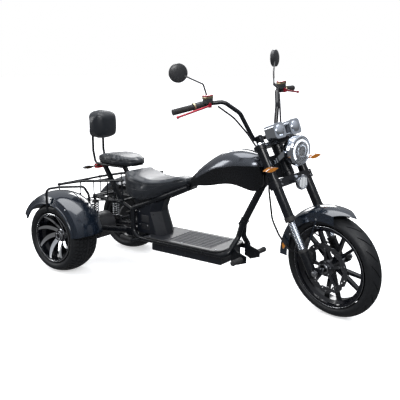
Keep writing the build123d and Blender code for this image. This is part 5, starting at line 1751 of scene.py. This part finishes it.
# ------------------------------------------------------------------ studio
@dataclass
class Studio:
    """Camera, soft light and a plain pale floor."""

    eye: Point = (2.15168, -2.93645, 1.33042)
    target: Point = (-0.0212, 0.0, 0.5285)
    lens: float = 54.73
    mirrored: ClassVar[float] = 0.14

    def build(self) -> None:
        """Sets the whole stage."""
        self._camera()
        self._floor()
        self._lights()
        self._sky()
        bpy.context.scene.view_settings.view_transform = "Standard"

    def _camera(self) -> None:
        """Level camera aimed at the vehicle."""
        data = bpy.data.cameras.new("camera")
        data.lens = self.lens
        data.sensor_width = 36.0
        camera = bpy.data.objects.new("camera", data)
        camera.location = self.eye
        run = Vector(self.target) - Vector(self.eye)
        camera.rotation_mode = "QUATERNION"
        camera.rotation_quaternion = run.to_track_quat("-Z", "Y")
        bpy.context.scene.collection.objects.link(camera)
        bpy.context.scene.camera = camera

    @staticmethod
    def _seen(tree: bpy.types.NodeTree) -> bpy.types.NodeSocket:
        """Share of the white surround that a ray sees: all of it, or a part in a reflection."""
        w = Wiring(tree)
        rays = w.node("LightPath").outputs
        clear = w.math("MAXIMUM", rays["Is Camera Ray"], rays["Is Transmission Ray"])
        return w.math("MULTIPLY_ADD", rays["Is Glossy Ray"], Studio.mirrored, clear, clamp=True)

    def _floor(self) -> None:
        """Pale floor that runs to the horizon."""
        bm = bmesh.new()
        bmesh.ops.create_grid(bm, x_segments=2, y_segments=2, size=60.0)
        mesh = bpy.data.meshes.new("floor")
        bm.to_mesh(mesh)
        bm.free()
        material = bpy.data.materials.new("floor_pale")
        material.use_nodes = True
        surface = material.node_tree.nodes["Principled BSDF"]
        surface.inputs["Base Color"].default_value = (0.93, 0.93, 0.93, 1)
        surface.inputs["Roughness"].default_value = 0.75
        surface.inputs["Specular IOR Level"].default_value = 0.15
        w = Wiring(material.node_tree)
        away = w.node("VectorMath", {0: w.node("TexCoord").outputs["Object"]}, operation="LENGTH")
        fade = w.node("MapRange", {"Value": away.outputs["Value"], "From Min": 0.9, "From Max": 2.6,
                                   "To Min": 0.55, "To Max": 1.0}, interpolation_type="SMOOTHSTEP")
        surface.inputs["Emission Color"].default_value = (1, 1, 1, 1)
        w.feed(surface.inputs["Emission Strength"],
               w.math("MULTIPLY", fade.outputs["Result"], self._seen(material.node_tree)))
        mesh.materials.append(material)
        floor = bpy.data.objects.new("floor", mesh)
        floor.location.z = -0.0005
        floor.visible_glossy = False
        bpy.context.scene.collection.objects.link(floor)

    @staticmethod
    def _area(name: str, at: Point, aim: Point, size: Tuple[float, float], power: float) -> None:
        """Adds one rectangular soft light."""
        data = bpy.data.lights.new(name, "AREA")
        data.shape = "RECTANGLE"
        data.size, data.size_y = size
        data.energy = power
        lamp = bpy.data.objects.new(name, data)
        lamp.location = at
        lamp.rotation_mode = "QUATERNION"
        lamp.rotation_quaternion = (Vector(aim) - Vector(at)).to_track_quat("-Z", "Y")
        bpy.context.scene.collection.objects.link(lamp)

    def _lights(self) -> None:
        """A broad key from the front right, a top bank and a rim light behind."""
        self._area("key", (3.2, -3.4, 3.4), (0, 0, 0.4), (2.6, 1.6), 150)
        self._area("top", (-0.2, 0.4, 4.2), (0, 0, 0.4), (4.0, 2.4), 110)
        self._area("side", (-3.6, -2.6, 2.0), (-0.4, 0, 0.5), (1.2, 2.2), 60)
        self._area("back", (-2.4, 4.0, 2.8), (0, 0, 0.6), (3.0, 1.4), 90)

    @staticmethod
    def _sky() -> None:
        """White to the camera and glass, part white in reflections, a soft gradient to everything else."""
        world = bpy.data.worlds.new("studio")
        bpy.context.scene.world = world
        world.use_nodes = True
        tree = world.node_tree
        tree.nodes.clear()
        w = Wiring(tree)
        white = w.node("Background", {"Color": (1, 1, 1, 1), "Strength": 1.0})
        split = w.node("SeparateXYZ", {0: w.node("TexCoord").outputs["Generated"]})
        ramp = w.node("ValToRGB", {"Fac": w.math("MULTIPLY_ADD", split.outputs["Z"], 0.5, 0.5)})
        shades = ((0.0, 0.02), (0.48, 0.03), (0.56, 0.1), (0.72, 0.42), (1.0, 1.0))
        while len(ramp.color_ramp.elements) < len(shades):
            ramp.color_ramp.elements.new(0.5)
        for element, (where, value) in zip(ramp.color_ramp.elements, shades):
            element.position = where
            element.color = (value * 0.94, value * 0.98, value * 1.06, 1)
        soft = w.node("Background", {"Color": ramp.outputs["Color"], "Strength": 1.0})
        mix = w.node("MixShader", {"Fac": Studio._seen(tree), 1: soft.outputs[0], 2: white.outputs[0]})
        w.node("OutputWorld", {"Surface": mix.outputs[0]})


def main() -> None:
    """Builds every sub-assembly in order."""
    logging.basicConfig(level=logging.INFO, format="%(message)s", force=True)
    Studio().build()
    Bodywork().build()
    Chassis().build()
    Seats().build()
    for side, sign in (("right", -1), ("left", 1)):
        RearWheel(side, sign).build()
    FrontWheel(STEER.wheel).build()
    Fork(STEER).build()
    Lamps(STEER).build()
    Controls(STEER).build()
    FrontBrake(STEER).build()


if __name__ == "__main__":
    main()
